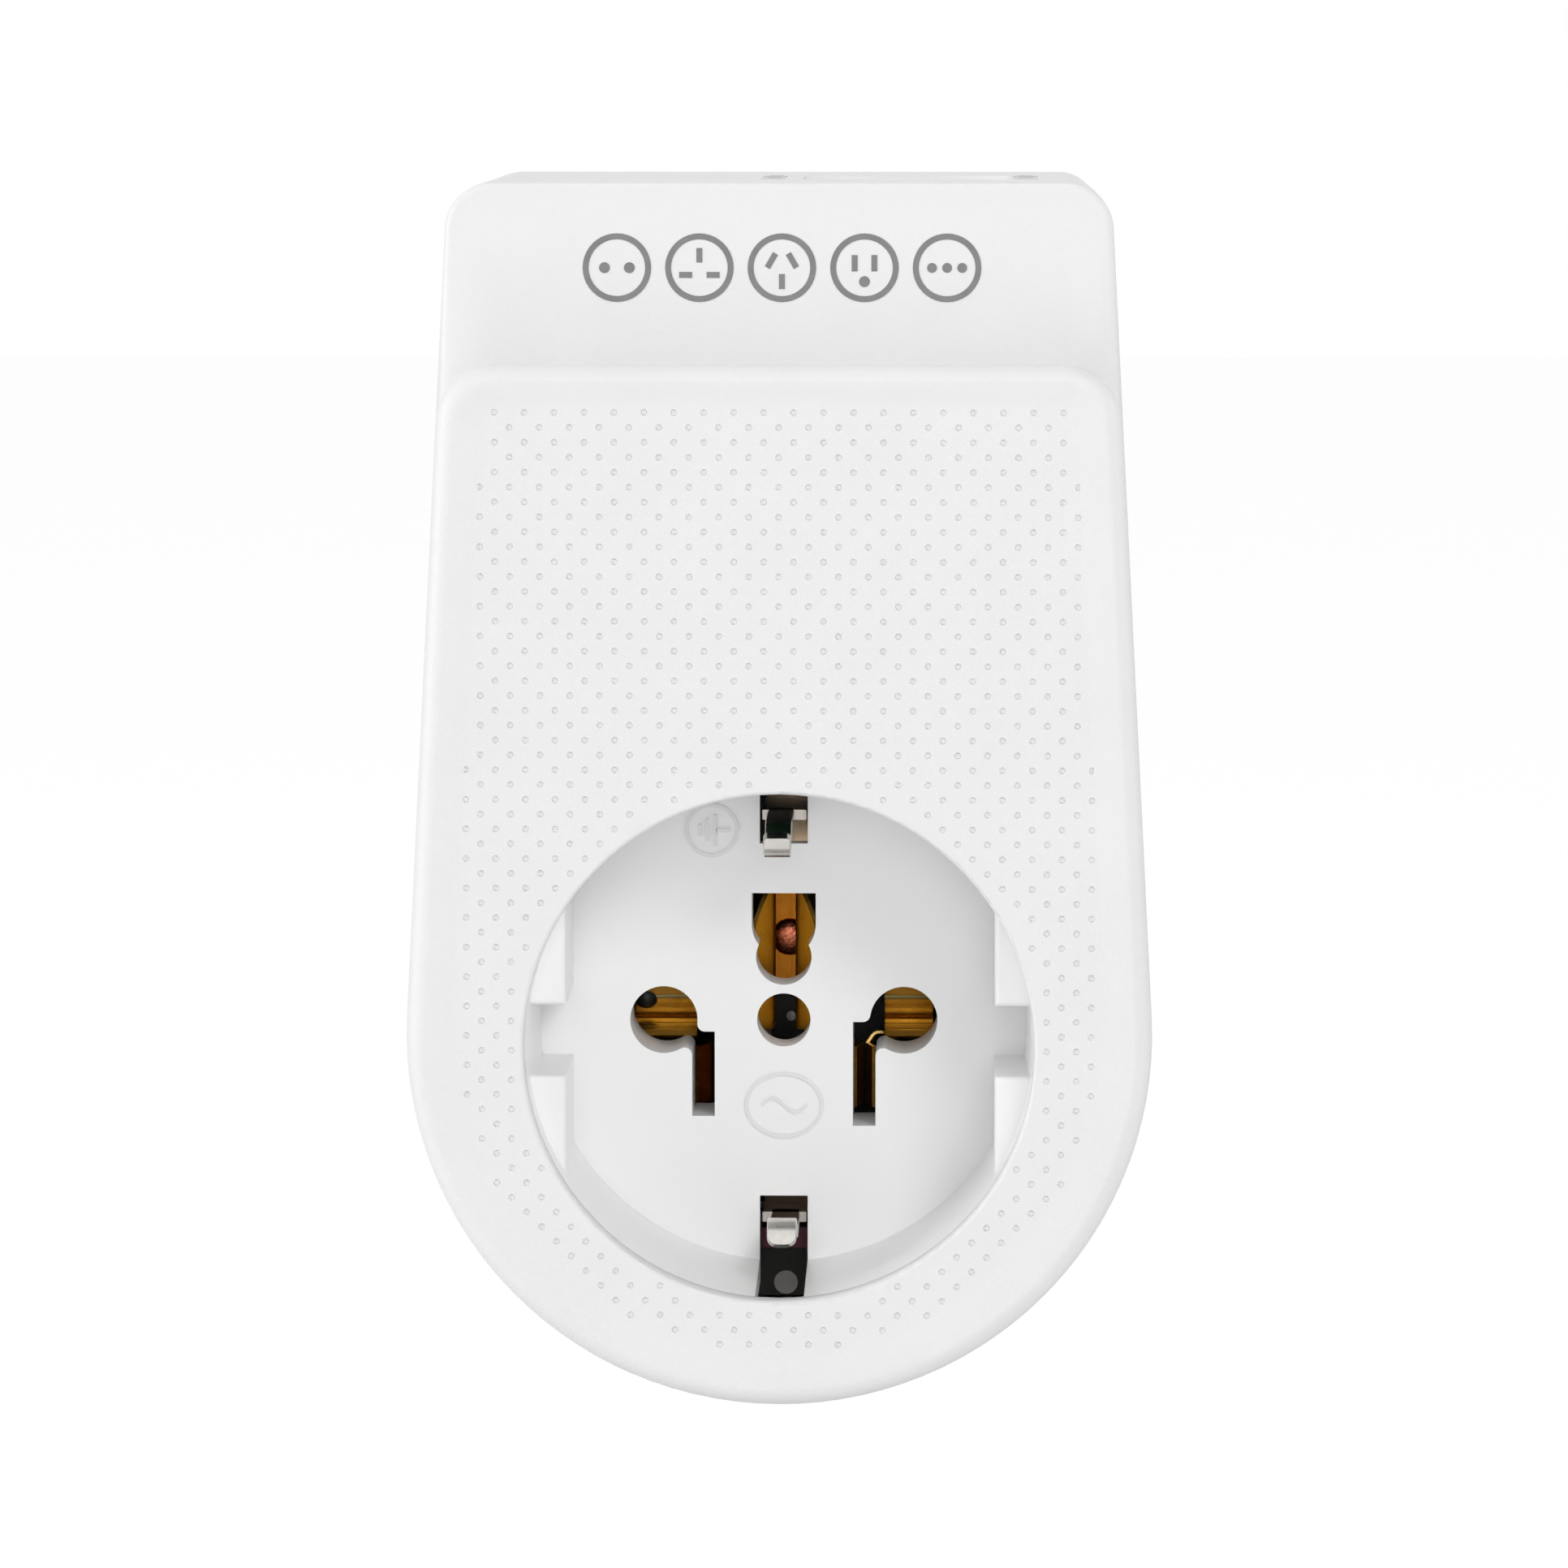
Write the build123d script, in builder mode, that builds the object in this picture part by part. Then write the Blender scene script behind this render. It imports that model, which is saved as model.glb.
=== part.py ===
from build123d import *
import os
from math import cos, hypot, radians, sin, sqrt

# Travel adaptor with an earthed round socket in front, wall plug pins behind and USB ports on top.
# X runs to the right, Z up, and the front faces -Y. The rear face lies at Y = 0.
# The origin is the centre of the wall plug on the rear face. A "level" is a distance in front of
# the rear face, and sketches are measured from the axis of the round socket.

# Housing
body_depth = 44.0
foot_radius = 28.75
foot_rise = 0.9
side_lean = 3.0
body_top = 66.5
body_corner = 3.6
socket_drop = 14.4
cover_depth = 10.0
wall = 2.0
cover_front_wall = 2.5
rear_draft = 0.7
rear_top_draft = 0.1
rear_edge_round = 1.2
parting_groove = 0.2

# Front face: a raised plateau with a rolled rim round a sunk flat, and a lower strip above it
strip_drop = 1.0
strip_edge_round = 0.55
plateau_top = 52.8
plateau_corner = 4.6
plateau_round = 1.45
flat_drop = 0.3
flat_margin = 3.5
flat_top_margin = 3.0
flat_corner = 2.5

# Parting joint between the cover and the rear housing
tongue_height = 1.5
tongue_thickness = 0.8
joint_clearance = 0.1

# Socket well
well_depth = 17.5
well_mouth_radius = 19.7
well_floor_radius = 19.25
well_lip_round = 0.35
cup_wall = 1.6
cup_floor = 2.0
cup_flange_width = 1.7
cup_flange_thickness = 1.2
block_gap = 33.3
block_drop = 4.8
block_notch = 5.5
block_edge_round = 0.4
rib_corner = 0.3

# Holes of the socket
pin_spacing = 19.0
round_hole_radius = 2.67
round_hole_length = 7.5
hole_neck_round = 0.6
blade_spacing = 12.74
blade_width = 1.8
live_blade_top = 0.95
live_blade_bottom = 7.7
neutral_blade_top = 0.15
neutral_blade_bottom = 8.45
centre_hole_radius = 2.12
short_hole_length = 4.2
earth_hole_width = 5.06
earth_hole_rise = 7.56
earth_hole_top = 10.1
earth_round_radius = 2.2
earth_round_rise = 5.0
collar_wall = 1.2
short_collar_wall = 1.0

# Earth clips at the top and bottom of the well
clip_slot_width = 3.8
clip_slot_inner = 14.05
clip_slot_outer = 21.5
clip_thickness = 0.6
clip_width = 3.3
clip_nose_width = 2.2
clip_nose_reach = 14.0
clip_nose_drop = 6.6
clip_leg_reach = 17.3
clip_shoulder_level = 29.0
clip_tip_reach = 15.8
clip_tip_drop = 5.2
clip_tip_round = 0.8
clip_foot_reach = 14.3
clip_nose_run = 4.1
clip_bend = 0.9

# Wall plug
live_pin_length = 17.0
earth_pin_length = 20.0
pin_width = 6.35
pin_thickness = 1.6
pin_offset_x = 6.86
pin_rise = 3.96
earth_pin_drop = 10.31
pin_slant = 30.0
pin_tip_chamfer = 0.28
pin_corner = 0.3
pin_root_corner = 0.6
pin_root_width = 7.8
pin_root_thickness = 3.2
pin_slot_clearance = 0.1
sleeve_length = 8.7
sleeve_sink = 0.8
sleeve_wall = 0.35

# Contacts
carrier_thickness = 1.2
carrier_radius = 18.2
carrier_rim = 1.0
carrier_rim_height = 5.0
carrier_top = 24.0
carrier_top_width = 24.0
carrier_corner = 1.5
strip_thickness = 0.6
strip_corner = 1.0
plug_pad_x = 7.2
plug_pad_z = 18.9
plug_pad_width = 7.2
plug_pad_height = 9.0
strip_arm_x = 9.5
strip_arm_width = 4.2
contact_thickness = 0.5
contact_front_gap = 0.6
pin_clip_width = 4.2
pin_clip_half = 2.55
pin_clip_throat = 0.6
pin_clip_flare = 2.6
blade_clip_height = 4.9
blade_clip_half = 1.6
blade_clip_throat = 0.75
blade_clip_flare = 1.3
blade_clip_gap = 0.4
earth_clip_half = 2.3
earth_clip_throat = 1.25
earth_clip_flare = 2.3
earth_throat_level = 18.0
earth_clip_bottom_reach = 1.6
earth_clip_top_reach = 10.2
throat_level = 14.5
spring_root_level = 9.5
earth_strap_width = 4.4
partition_x = 3.4
partition_thickness = 1.0
partition_reach = 12.0
rivet_head_radius = 1.5
rivet_head_height = 0.9
rivet_head_round = 0.54
rivet_shank_radius = 1.0

# Screws
screw_top_margin = 8.45
screw_top_drop = 6.1
screw_low_margin = 7.25
screw_length = 16.0
screw_radius = 1.15
screw_head_radius = 2.2
screw_head_height = 1.3
screw_sink = 0.1
post_radius = 2.5
post_joint_level = 8.0
screw_play = 0.2
thread_play = 0.05

# USB ports and charger
usb_post_gap = 1.5
usb_recess_width = 16.4
usb_recess_depth = 15.0
usb_recess_sink = 0.8
usb_recess_corner = 2.0
usb_a_width = 13.2
usb_a_height = 5.7
usb_a_length = 13.6
usb_a_corner = 0.7
usb_c_corner = 1.5
usb_c_width = 8.94
usb_c_height = 3.2
usb_c_length = 7.5
usb_shell_wall = 0.35
usb_a_tongue_width = 11.1
usb_a_tongue_thickness = 1.85
usb_a_tongue_length = 8.4
usb_c_tongue_width = 6.7
usb_c_tongue_thickness = 0.7
usb_c_tongue_length = 4.6
usb_block_length = 3.0
usb_lip_sink = 0.1
port_clearance = 0.15
board_level = 22.4
board_thickness = 1.6
board_margin = 7.35
board_low = 25.2
board_top_gap = 4.5
board_corner = 1.0
board_notch = 3.0
stand_radius = 2.0
stand_low_inset = 2.9
stand_low_z = 29.0
stand_high_inset = 2.0
stand_high_drop = 12.0
wire_radius = 0.55
wire_x = 8.6
wire_rise = 6.2
wire_start_z = 21.6
wire_bend = 2.8

# Charger components, placed from the socket's axis
core_safety_gap = 10.7
core_z = 42.0
core_width = 16.0
core_height = 14.0
core_depth = 8.0
core_limb = 2.2
core_board_gap = 2.2
winding_corner = 1.6
winding_bore_corner = 0.2
input_can_x = 8.5
input_can_z = 31.5
input_can_radius = 4.2
input_can_gap = 2.5
output_can_inset = 5.6
output_can_drop = 21.0
output_can_radius = 3.15
output_can_length = 11.0
can_round = 0.5
groove_level = 1.2
groove_width = 0.8
groove_depth = 0.35
bridge_x = -8.0
bridge_z = 34.0
bridge_width = 5.0
bridge_height = 4.4
bridge_thickness = 1.9
chip_x = -1.0
chip_z = 46.0
chip_width = 5.0
chip_height = 4.0
chip_thickness = 1.5
chip_round = 0.25
fuse_x = -6.0
fuse_z = 28.6
fuse_radius = 1.7
fuse_length = 7.5
safety_inset = 2.7
safety_radius = 3.6
safety_thickness = 3.0
safety_round = 1.2
inductor_x = 6.5
inductor_gap = 1.0
inductor_radius = 3.2
inductor_core_radius = 2.7
inductor_height = 6.0

# How far off a wanted edge may lie
place_tolerance = 0.01

# Levels and places worked out from the sizes above
socket_z = -socket_drop
strip_level = body_depth - strip_drop
flat_level = body_depth - flat_drop
flat_top = plateau_top - flat_top_margin
parting_level = body_depth - cover_depth
cavity_level = body_depth - cover_front_wall
floor_level = flat_level - well_depth
floor_back_level = floor_level - cup_floor
collar_level = floor_level - round_hole_length
short_collar_level = floor_level - short_hole_length
block_level = flat_level - block_drop
cup_outer_radius = well_mouth_radius + cup_wall
cup_flange_radius = cup_outer_radius + cup_flange_width
root_level = wall + carrier_thickness
strip_front_level = root_level + strip_thickness
contact_front_level = collar_level - contact_front_gap
earth_front_level = short_collar_level - contact_front_gap
round_hole_x = pin_spacing / 2
blade_x = blade_spacing / 2
earth_pin_z = socket_drop - earth_pin_drop
plug_pin_z = socket_drop + pin_rise
board_front_level = board_level + board_thickness
port_mouth_z = body_top - usb_recess_sink - usb_lip_sink
screw_top_x = foot_radius - screw_top_margin
screw_low_x = foot_radius - screw_low_margin
screw_reach = cup_flange_radius + post_radius + port_clearance
screw_low_z = sqrt(screw_reach**2 - screw_low_x**2)
board_half_width = foot_radius - board_margin
board_top = body_top - board_top_gap
screw_top_z = body_top - screw_top_drop
usb_x = screw_top_x - post_radius - usb_post_gap - usb_a_width / 2
stand_low_x = board_half_width - stand_low_inset
stand_high_x = board_half_width - stand_high_inset
stand_high_z = board_top - stand_high_drop
input_can_length = cavity_level - board_front_level - input_can_gap
output_can_x = board_half_width - output_can_inset
output_can_z = board_top - output_can_drop
safety_x = safety_inset - board_half_width
safety_z = (stand_low_z + stand_high_z) / 2
core_x = safety_x + core_safety_gap
inductor_z = port_mouth_z - usb_a_length - inductor_gap - inductor_radius
screw_places = [
    (-screw_top_x, screw_top_z),
    (screw_top_x, screw_top_z),
    (-screw_low_x, screw_low_z),
    (screw_low_x, screw_low_z),
]
stand_places = [
    (-stand_low_x, stand_low_z),
    (stand_low_x, stand_low_z),
    (-stand_high_x, stand_high_z),
    (stand_high_x, stand_high_z),
]
core_level = board_front_level + core_board_gap
usb_a_level = board_front_level + usb_a_height / 2
usb_c_level = board_level - usb_c_height / 2
usb_recess_level = (usb_a_level + usb_a_height / 2 + usb_c_level - usb_c_height / 2) / 2
usb_ports = [
    (usb_a_level, usb_a_width, usb_a_height, usb_a_corner),
    (usb_c_level, usb_c_width, usb_c_height, usb_c_corner),
]
# Each plug pin's place, slant and length outside the housing
plug_pins = {
    "live": (-pin_offset_x, plug_pin_z, -pin_slant, live_pin_length),
    "neutral": (pin_offset_x, plug_pin_z, pin_slant, live_pin_length),
    "earth": (0.0, earth_pin_z, 0.0, earth_pin_length),
}


def socket_plane(level):
    # Faces the front; its x is X and its y is the height above the socket's axis
    return Plane(origin=(0, -level, socket_z), x_dir=(1, 0, 0), z_dir=(0, -1, 0))


def side_plane(x):
    # Its x is the level and its y is the height above the socket's axis
    return Plane(origin=(x, 0, socket_z), x_dir=(0, -1, 0), z_dir=(-1, 0, 0))


def top_plane(z):
    # Its x is X and its y is the level, seen from below
    return Plane(origin=(0, 0, socket_z + z), x_dir=(1, 0, 0), z_dir=(0, 0, -1))


def outline(level, inset, top, corner):
    # Round foot, two leaning sides tangent to it, and a straight top with round corners
    lean = radians(side_lean)
    radius = foot_radius - inset
    touch_x = radius * cos(lean)
    touch_z = foot_rise + radius * sin(lean)
    top_x = (radius - (top - foot_rise) * sin(lean)) / cos(lean)
    with BuildSketch(socket_plane(level)) as profile:
        with BuildLine():
            ThreePointArc((-touch_x, touch_z), (0, foot_rise - radius), (touch_x, touch_z))
            Polyline((touch_x, touch_z), (top_x, top), (-top_x, top), (-touch_x, touch_z))
        make_face()
        fillet(profile.vertices().group_by(Axis.Y)[-1], corner)
    return profile.sketch


def housing_outline(level, inset):
    return outline(level, inset, body_top - inset, body_corner - inset)


def plateau_outline(level, inset):
    # Flush with the housing at the sides and the foot
    return outline(level, inset, plateau_top - inset, plateau_corner - inset)


def disc(level, radius, x=0.0, z=0.0):
    return discs(level, radius, [(x, z)])


def discs(level, radius, places):
    with BuildSketch(socket_plane(level)) as rounds:
        with Locations(*places):
            Circle(radius)
    return rounds.sketch


def upright_section(level, x, z, width, height, corner, turn=0.0):
    # Rounded rectangle in a plane that faces the front
    with BuildSketch(socket_plane(level)) as section:
        with Locations((x, z)):
            RectangleRounded(width, height, corner, rotation=turn)
    return section.sketch


def top_section(z, level, width, height, corner, x=0.0):
    # Rounded rectangle in a level plane, where height runs from the rear to the front
    with BuildSketch(top_plane(z)) as section:
        with Locations((x, level)):
            RectangleRounded(width, height, corner)
    return section.sketch


def edges_at(level, edges):
    return edges.filter_by_position(Axis.Y, -level - place_tolerance, -level + place_tolerance)


def circles_of(radius, edges):
    round_edges = edges.filter_by(GeomType.CIRCLE)
    return round_edges.filter_by(lambda edge: abs(edge.radius - radius) < place_tolerance)


def save(part, name):
    part.label = name
    export_step(part, f"parts/{name}.step")


def make_front_cover():
    with BuildPart() as strip:
        extrude(housing_outline(parting_level, 0), amount=strip_level - parting_level)
        fillet(edges_at(strip_level, strip.edges()), strip_edge_round)
    with BuildPart() as cover:
        # Plateau with its rolled rim, and the sunk flat inside the rim
        extrude(plateau_outline(parting_level, 0), amount=body_depth - parting_level)
        fillet(edges_at(body_depth, cover.edges()), plateau_round)
        loft(
            [
                outline(flat_level, flat_margin, flat_top, flat_corner),
                plateau_outline(body_depth, plateau_round),
            ],
            mode=Mode.SUBTRACT,
        )
        add(strip.part)

        # Mouth of the socket, with its thin rounded lip
        extrude(disc(flat_level, well_mouth_radius), amount=-cover_depth, mode=Mode.SUBTRACT)
        fillet(circles_of(well_mouth_radius, edges_at(flat_level, cover.edges())), well_lip_round)

        # Hollow behind the face, and the rebate that takes the rear housing's tongue
        extrude(
            housing_outline(parting_level, wall),
            amount=cavity_level - parting_level,
            mode=Mode.SUBTRACT,
        )
        extrude(
            housing_outline(parting_level, wall - tongue_thickness - joint_clearance),
            amount=tongue_height + joint_clearance,
            mode=Mode.SUBTRACT,
        )

        # Four screw posts reach back to the rear housing's own, and four more hold the board
        post_sketch = discs(post_joint_level, post_radius, screw_places)
        extrude(post_sketch, amount=cavity_level - post_joint_level)
        extrude(
            discs(post_joint_level, screw_radius + thread_play, screw_places),
            amount=screw_sink + screw_length + screw_play - post_joint_level,
            mode=Mode.SUBTRACT,
        )
        stand_sketch = discs(board_front_level, stand_radius, stand_places)
        extrude(stand_sketch, amount=cavity_level - board_front_level)
    return cover.part


def make_rear_housing():
    cavity_inset = wall + rear_draft * (1 - wall / parting_level)
    slot_width = pin_thickness + 2 * pin_slot_clearance
    slot_height = pin_width + 2 * pin_slot_clearance
    with BuildPart() as housing:
        rear_outline = outline(0, rear_draft, body_top - rear_top_draft, body_corner - rear_draft)
        groove_outline = housing_outline(parting_level - parting_groove, 0)
        loft([rear_outline, groove_outline])
        fillet(edges_at(0, housing.edges()), rear_edge_round)

        # Small bevel that leaves a fine groove along the parting line
        loft([groove_outline, housing_outline(parting_level, parting_groove)])

        # Tongue that stands into the cover's rebate, then the hollow
        extrude(housing_outline(parting_level, wall - tongue_thickness), amount=tongue_height)
        loft(
            [housing_outline(wall, cavity_inset), housing_outline(parting_level, wall)],
            mode=Mode.SUBTRACT,
        )
        extrude(housing_outline(parting_level, wall), amount=tongue_height, mode=Mode.SUBTRACT)

        # Short screw posts with countersunk holes, and the stands that carry the board
        extrude(discs(wall, post_radius, screw_places), amount=post_joint_level - wall)
        extrude(discs(wall, stand_radius, stand_places), amount=board_level - wall)
        extrude(
            discs(0, screw_radius + screw_play, screw_places),
            amount=post_joint_level,
            mode=Mode.SUBTRACT,
        )
        head_depth = screw_sink + screw_head_height
        loft_sketches = [
            discs(0, screw_head_radius + screw_sink, screw_places),
            discs(head_depth, screw_radius + screw_play, screw_places),
        ]
        for wide, narrow in zip(loft_sketches[0].faces(), loft_sketches[1].faces()):
            loft([wide, narrow], mode=Mode.SUBTRACT)

        # Slots for the three plug pins
        for x, z, turn, length in plug_pins.values():
            slot = upright_section(0, x, z, slot_width, slot_height, pin_corner, turn)
            extrude(slot, amount=wall, mode=Mode.SUBTRACT)

        # Shallow recess in the top face with the mouths of the two ports
        recess_floor = body_top - usb_recess_sink
        recess = top_section(
            recess_floor, usb_recess_level, usb_recess_width, usb_recess_depth, usb_recess_corner, usb_x
        )
        extrude(recess, amount=-2 * usb_recess_sink, mode=Mode.SUBTRACT)
        for level, width, height, corner in usb_ports:
            mouth = top_section(
                recess_floor,
                level,
                width + 2 * port_clearance,
                height + 2 * port_clearance,
                corner + port_clearance,
                usb_x,
            )
            extrude(mouth, amount=2 * wall, mode=Mode.SUBTRACT)
    return housing.part


def line_hole(level, side, blade_top, blade_bottom, margin=0.0):
    # Round pin hole with a flat blade slot that runs down beside it
    with BuildSketch(socket_plane(level)) as shape:
        with Locations((side * round_hole_x, 0)):
            Circle(round_hole_radius + margin)
        with Locations((side * blade_x, -(blade_top + blade_bottom) / 2)):
            Rectangle(blade_width + 2 * margin, blade_bottom - blade_top + 2 * margin)
        if not margin:
            necks = shape.vertices().filter_by(
                lambda spot: spot.Y < -blade_top / 2
                and abs(hypot(abs(spot.X) - round_hole_x, spot.Y) - round_hole_radius) < place_tolerance
            )
            fillet(necks, hole_neck_round)
    return shape.sketch


def earth_hole(level, margin=0.0):
    # Flat-topped pin hole that runs down into a round one
    with BuildSketch(socket_plane(level)) as shape:
        with Locations((0, earth_hole_rise)):
            Circle(earth_hole_width / 2 + margin)
        with Locations((0, (earth_hole_rise + earth_hole_top) / 2)):
            Rectangle(earth_hole_width + 2 * margin, earth_hole_top - earth_hole_rise + 2 * margin)
        with Locations((0, earth_round_rise)):
            Circle(earth_round_radius + margin)
    return shape.sketch


def make_socket_cup():
    line_holes = [(-1, live_blade_top, live_blade_bottom), (1, neutral_blade_top, neutral_blade_bottom)]
    flange_back = cavity_level - cup_flange_thickness
    with BuildPart() as cup:
        # Wall, floor and flange, turned about the socket's axis
        with BuildSketch(side_plane(0)):
            with BuildLine():
                Polyline(
                    (floor_back_level, 0),
                    (floor_back_level, cup_outer_radius),
                    (flange_back, cup_outer_radius),
                    (flange_back, cup_flange_radius),
                    (cavity_level, cup_flange_radius),
                    (cavity_level, well_mouth_radius),
                    (floor_level, well_floor_radius),
                    (floor_level, 0),
                    close=True,
                )
            make_face()
        revolve(axis=Axis((0, 0, socket_z), (0, -1, 0)))

        # Side blocks with a notch across them on the pin line
        with BuildSketch(socket_plane(floor_level)):
            Circle(cup_outer_radius - cup_wall / 2)
            Rectangle(block_gap, 2 * cup_outer_radius, mode=Mode.SUBTRACT)
            Rectangle(2 * cup_outer_radius, block_notch, mode=Mode.SUBTRACT)
        extrude(amount=block_level - floor_level)
        block_edges = edges_at(block_level, cup.edges()).filter_by(GeomType.LINE)
        fillet(block_edges, block_edge_round)

        # Collars behind the floor
        for side, top, bottom in line_holes:
            extrude(
                line_hole(collar_level, side, top, bottom, collar_wall),
                amount=floor_back_level - collar_level,
            )
        short_collar = floor_back_level - short_collar_level
        extrude(disc(short_collar_level, centre_hole_radius + short_collar_wall), amount=short_collar)
        extrude(earth_hole(short_collar_level, short_collar_wall), amount=short_collar)

        # Two ribs part the earth contact from the others and stand on the contact carrier
        for side in (-1, 1):
            rib = upright_section(
                root_level, side * partition_x, 0, partition_thickness, 2 * partition_reach, rib_corner
            )
            extrude(rib, amount=floor_back_level - root_level)

        # Pin holes through floor and collars
        for side, top, bottom in line_holes:
            hole = line_hole(collar_level, side, top, bottom)
            extrude(hole, amount=floor_level - collar_level, mode=Mode.SUBTRACT)
        for hole in (disc(short_collar_level, centre_hole_radius), earth_hole(short_collar_level)):
            extrude(hole, amount=floor_level - short_collar_level, mode=Mode.SUBTRACT)

        # Slots for the earth clips, through floor and wall
        for side in (-1, 1):
            middle = side * (clip_slot_inner + clip_slot_outer) / 2
            with BuildSketch(socket_plane(floor_back_level)):
                with Locations((0, middle)):
                    Rectangle(clip_slot_width, clip_slot_outer - clip_slot_inner)
            extrude(amount=cavity_level - floor_back_level, mode=Mode.SUBTRACT)
    return cup.part


def make_contact_carrier():
    # Dark plate under the contacts, with a low rim on both sides
    with BuildPart() as carrier:
        with BuildSketch(socket_plane(wall)):
            Circle(carrier_radius)
            with Locations((0, carrier_top / 2)):
                RectangleRounded(carrier_top_width, carrier_top, carrier_corner)
        extrude(amount=carrier_thickness)
        with BuildSketch(socket_plane(root_level)):
            Circle(carrier_radius)
            Circle(carrier_radius - carrier_rim, mode=Mode.SUBTRACT)
            with Locations((0, carrier_radius)):
                Rectangle(carrier_top_width, 2 * carrier_radius, mode=Mode.SUBTRACT)
            with Locations((0, -carrier_radius)):
                Rectangle(clip_slot_width + carrier_rim, carrier_radius, mode=Mode.SUBTRACT)
        extrude(amount=carrier_rim_height)
        for x, z, turn, length in plug_pins.values():
            pocket = upright_section(
                wall,
                x,
                z,
                pin_root_thickness + 2 * pin_slot_clearance,
                pin_root_width + 2 * pin_slot_clearance,
                pin_root_corner + pin_slot_clearance,
                turn,
            )
            extrude(pocket, amount=carrier_thickness, mode=Mode.SUBTRACT)
    return carrier.part


def spring_path(half, throat, flare, front, narrow_level=throat_level):
    # Half of a spring clip's section, from its base to its flared mouth, as (level, reach)
    base = strip_front_level + contact_thickness / 2
    return [(base, half), (spring_root_level, half), (narrow_level, throat), (front, flare)]


def make_line_contact(side):
    pin_path = spring_path(pin_clip_half, pin_clip_throat, pin_clip_flare, contact_front_level)
    blade_path = spring_path(blade_clip_half, blade_clip_throat, blade_clip_flare, contact_front_level)
    blade_clip_top = -pin_clip_half - contact_thickness / 2 - blade_clip_gap
    with BuildPart() as contact:
        # Flat strip from the plug pin down to the two spring clips
        with BuildSketch(socket_plane(root_level)):
            with Locations((side * plug_pad_x, plug_pad_z)):
                RectangleRounded(plug_pad_width, plug_pad_height, strip_corner)
            with Locations((side * strip_arm_x, plug_pad_z / 2 - pin_clip_half / 2)):
                Rectangle(strip_arm_width, plug_pad_z + pin_clip_half)
            with Locations((side * blade_x, blade_clip_top - blade_clip_height / 2)):
                Rectangle(2 * blade_clip_half + contact_thickness, blade_clip_height + 2 * blade_clip_gap)
            with Locations((side * round_hole_x, 0)):
                Rectangle(pin_clip_width, 2 * pin_clip_half + contact_thickness)
        extrude(amount=strip_thickness)

        # Leaves above and below the round pin
        with BuildSketch(side_plane(side * round_hole_x)):
            with BuildLine():
                Polyline(*reversed(pin_path), *[(level, -reach) for level, reach in pin_path])
            trace(line_width=contact_thickness)
        extrude(amount=pin_clip_width / 2, both=True)

        # Leaves on both sides of the flat blade
        with BuildSketch(top_plane(blade_clip_top - blade_clip_height / 2)):
            with BuildLine():
                Polyline(
                    *[(side * blade_x - reach, level) for level, reach in reversed(blade_path)],
                    *[(side * blade_x + reach, level) for level, reach in blade_path],
                )
            trace(line_width=contact_thickness)
        extrude(amount=blade_clip_height / 2, both=True)
    return contact.part


def make_earth_contact():
    path = spring_path(
        earth_clip_half, earth_clip_throat, earth_clip_flare, earth_front_level, earth_throat_level
    )
    middle = (earth_clip_top_reach - earth_clip_bottom_reach) / 2
    height = earth_clip_top_reach + earth_clip_bottom_reach
    with BuildPart() as contact:
        with BuildSketch(top_plane(middle)):
            with BuildLine():
                Polyline(
                    *[(-reach, level) for level, reach in reversed(path)],
                    *[(reach, level) for level, reach in path],
                )
            trace(line_width=contact_thickness)
        extrude(amount=height / 2, both=True)
        rivet_hole = disc(strip_front_level, rivet_shank_radius + thread_play, 0, earth_pin_z)
        extrude(rivet_hole, amount=2 * contact_thickness, mode=Mode.SUBTRACT)
    return contact.part


def make_earth_strap():
    reach = clip_leg_reach + clip_thickness / 2
    with BuildPart() as strap:
        bar = upright_section(root_level, 0, 0, earth_strap_width, 2 * reach, strip_corner)
        extrude(bar, amount=strip_thickness)
        rivet_hole = disc(root_level, rivet_shank_radius + thread_play, 0, earth_pin_z)
        extrude(rivet_hole, amount=strip_thickness, mode=Mode.SUBTRACT)
    return strap.part


def make_earth_rivet():
    head_level = strip_front_level + contact_thickness
    with BuildPart() as rivet:
        shank = disc(root_level, rivet_shank_radius, 0, earth_pin_z)
        extrude(shank, amount=head_level - root_level)
        extrude(disc(head_level, rivet_head_radius, 0, earth_pin_z), amount=rivet_head_height)
        fillet(edges_at(head_level + rivet_head_height, rivet.edges()), rivet_head_round)
    return rivet.part


def make_earth_clip(side):
    # One bent strip: foot on the strap, leg through the cup's slot, and a nose into the well
    foot_level = strip_front_level + clip_thickness / 2
    nose_level = flat_level - clip_nose_drop
    nose_reach = clip_nose_reach + clip_thickness / 2
    points = [
        (foot_level, side * clip_foot_reach),
        (foot_level, side * clip_leg_reach),
        (nose_level - clip_nose_run, side * clip_leg_reach),
        (nose_level, side * nose_reach),
        (flat_level - clip_tip_drop, side * clip_tip_reach),
    ]
    with BuildPart() as clip:
        with BuildSketch(side_plane(0)):
            with BuildLine():
                FilletPolyline(*points, radius=clip_bend)
            trace(line_width=clip_thickness)
        extrude(amount=clip_width / 2, both=True)
        trim = (clip_width - clip_nose_width) / 2
        for edge_side in (-1, 1):
            x = edge_side * (clip_nose_width + trim) / 2
            with BuildSketch(socket_plane(clip_shoulder_level)):
                with Locations((x, side * clip_leg_reach)):
                    Rectangle(trim, 4 * clip_leg_reach - 4 * clip_nose_reach)
            extrude(amount=body_depth - clip_shoulder_level, mode=Mode.SUBTRACT)
        tip = clip.faces().sort_by(Axis.Y)[0]
        fillet(tip.edges().sort_by(SortBy.LENGTH)[:2], clip_tip_round)
    return clip.part


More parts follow.
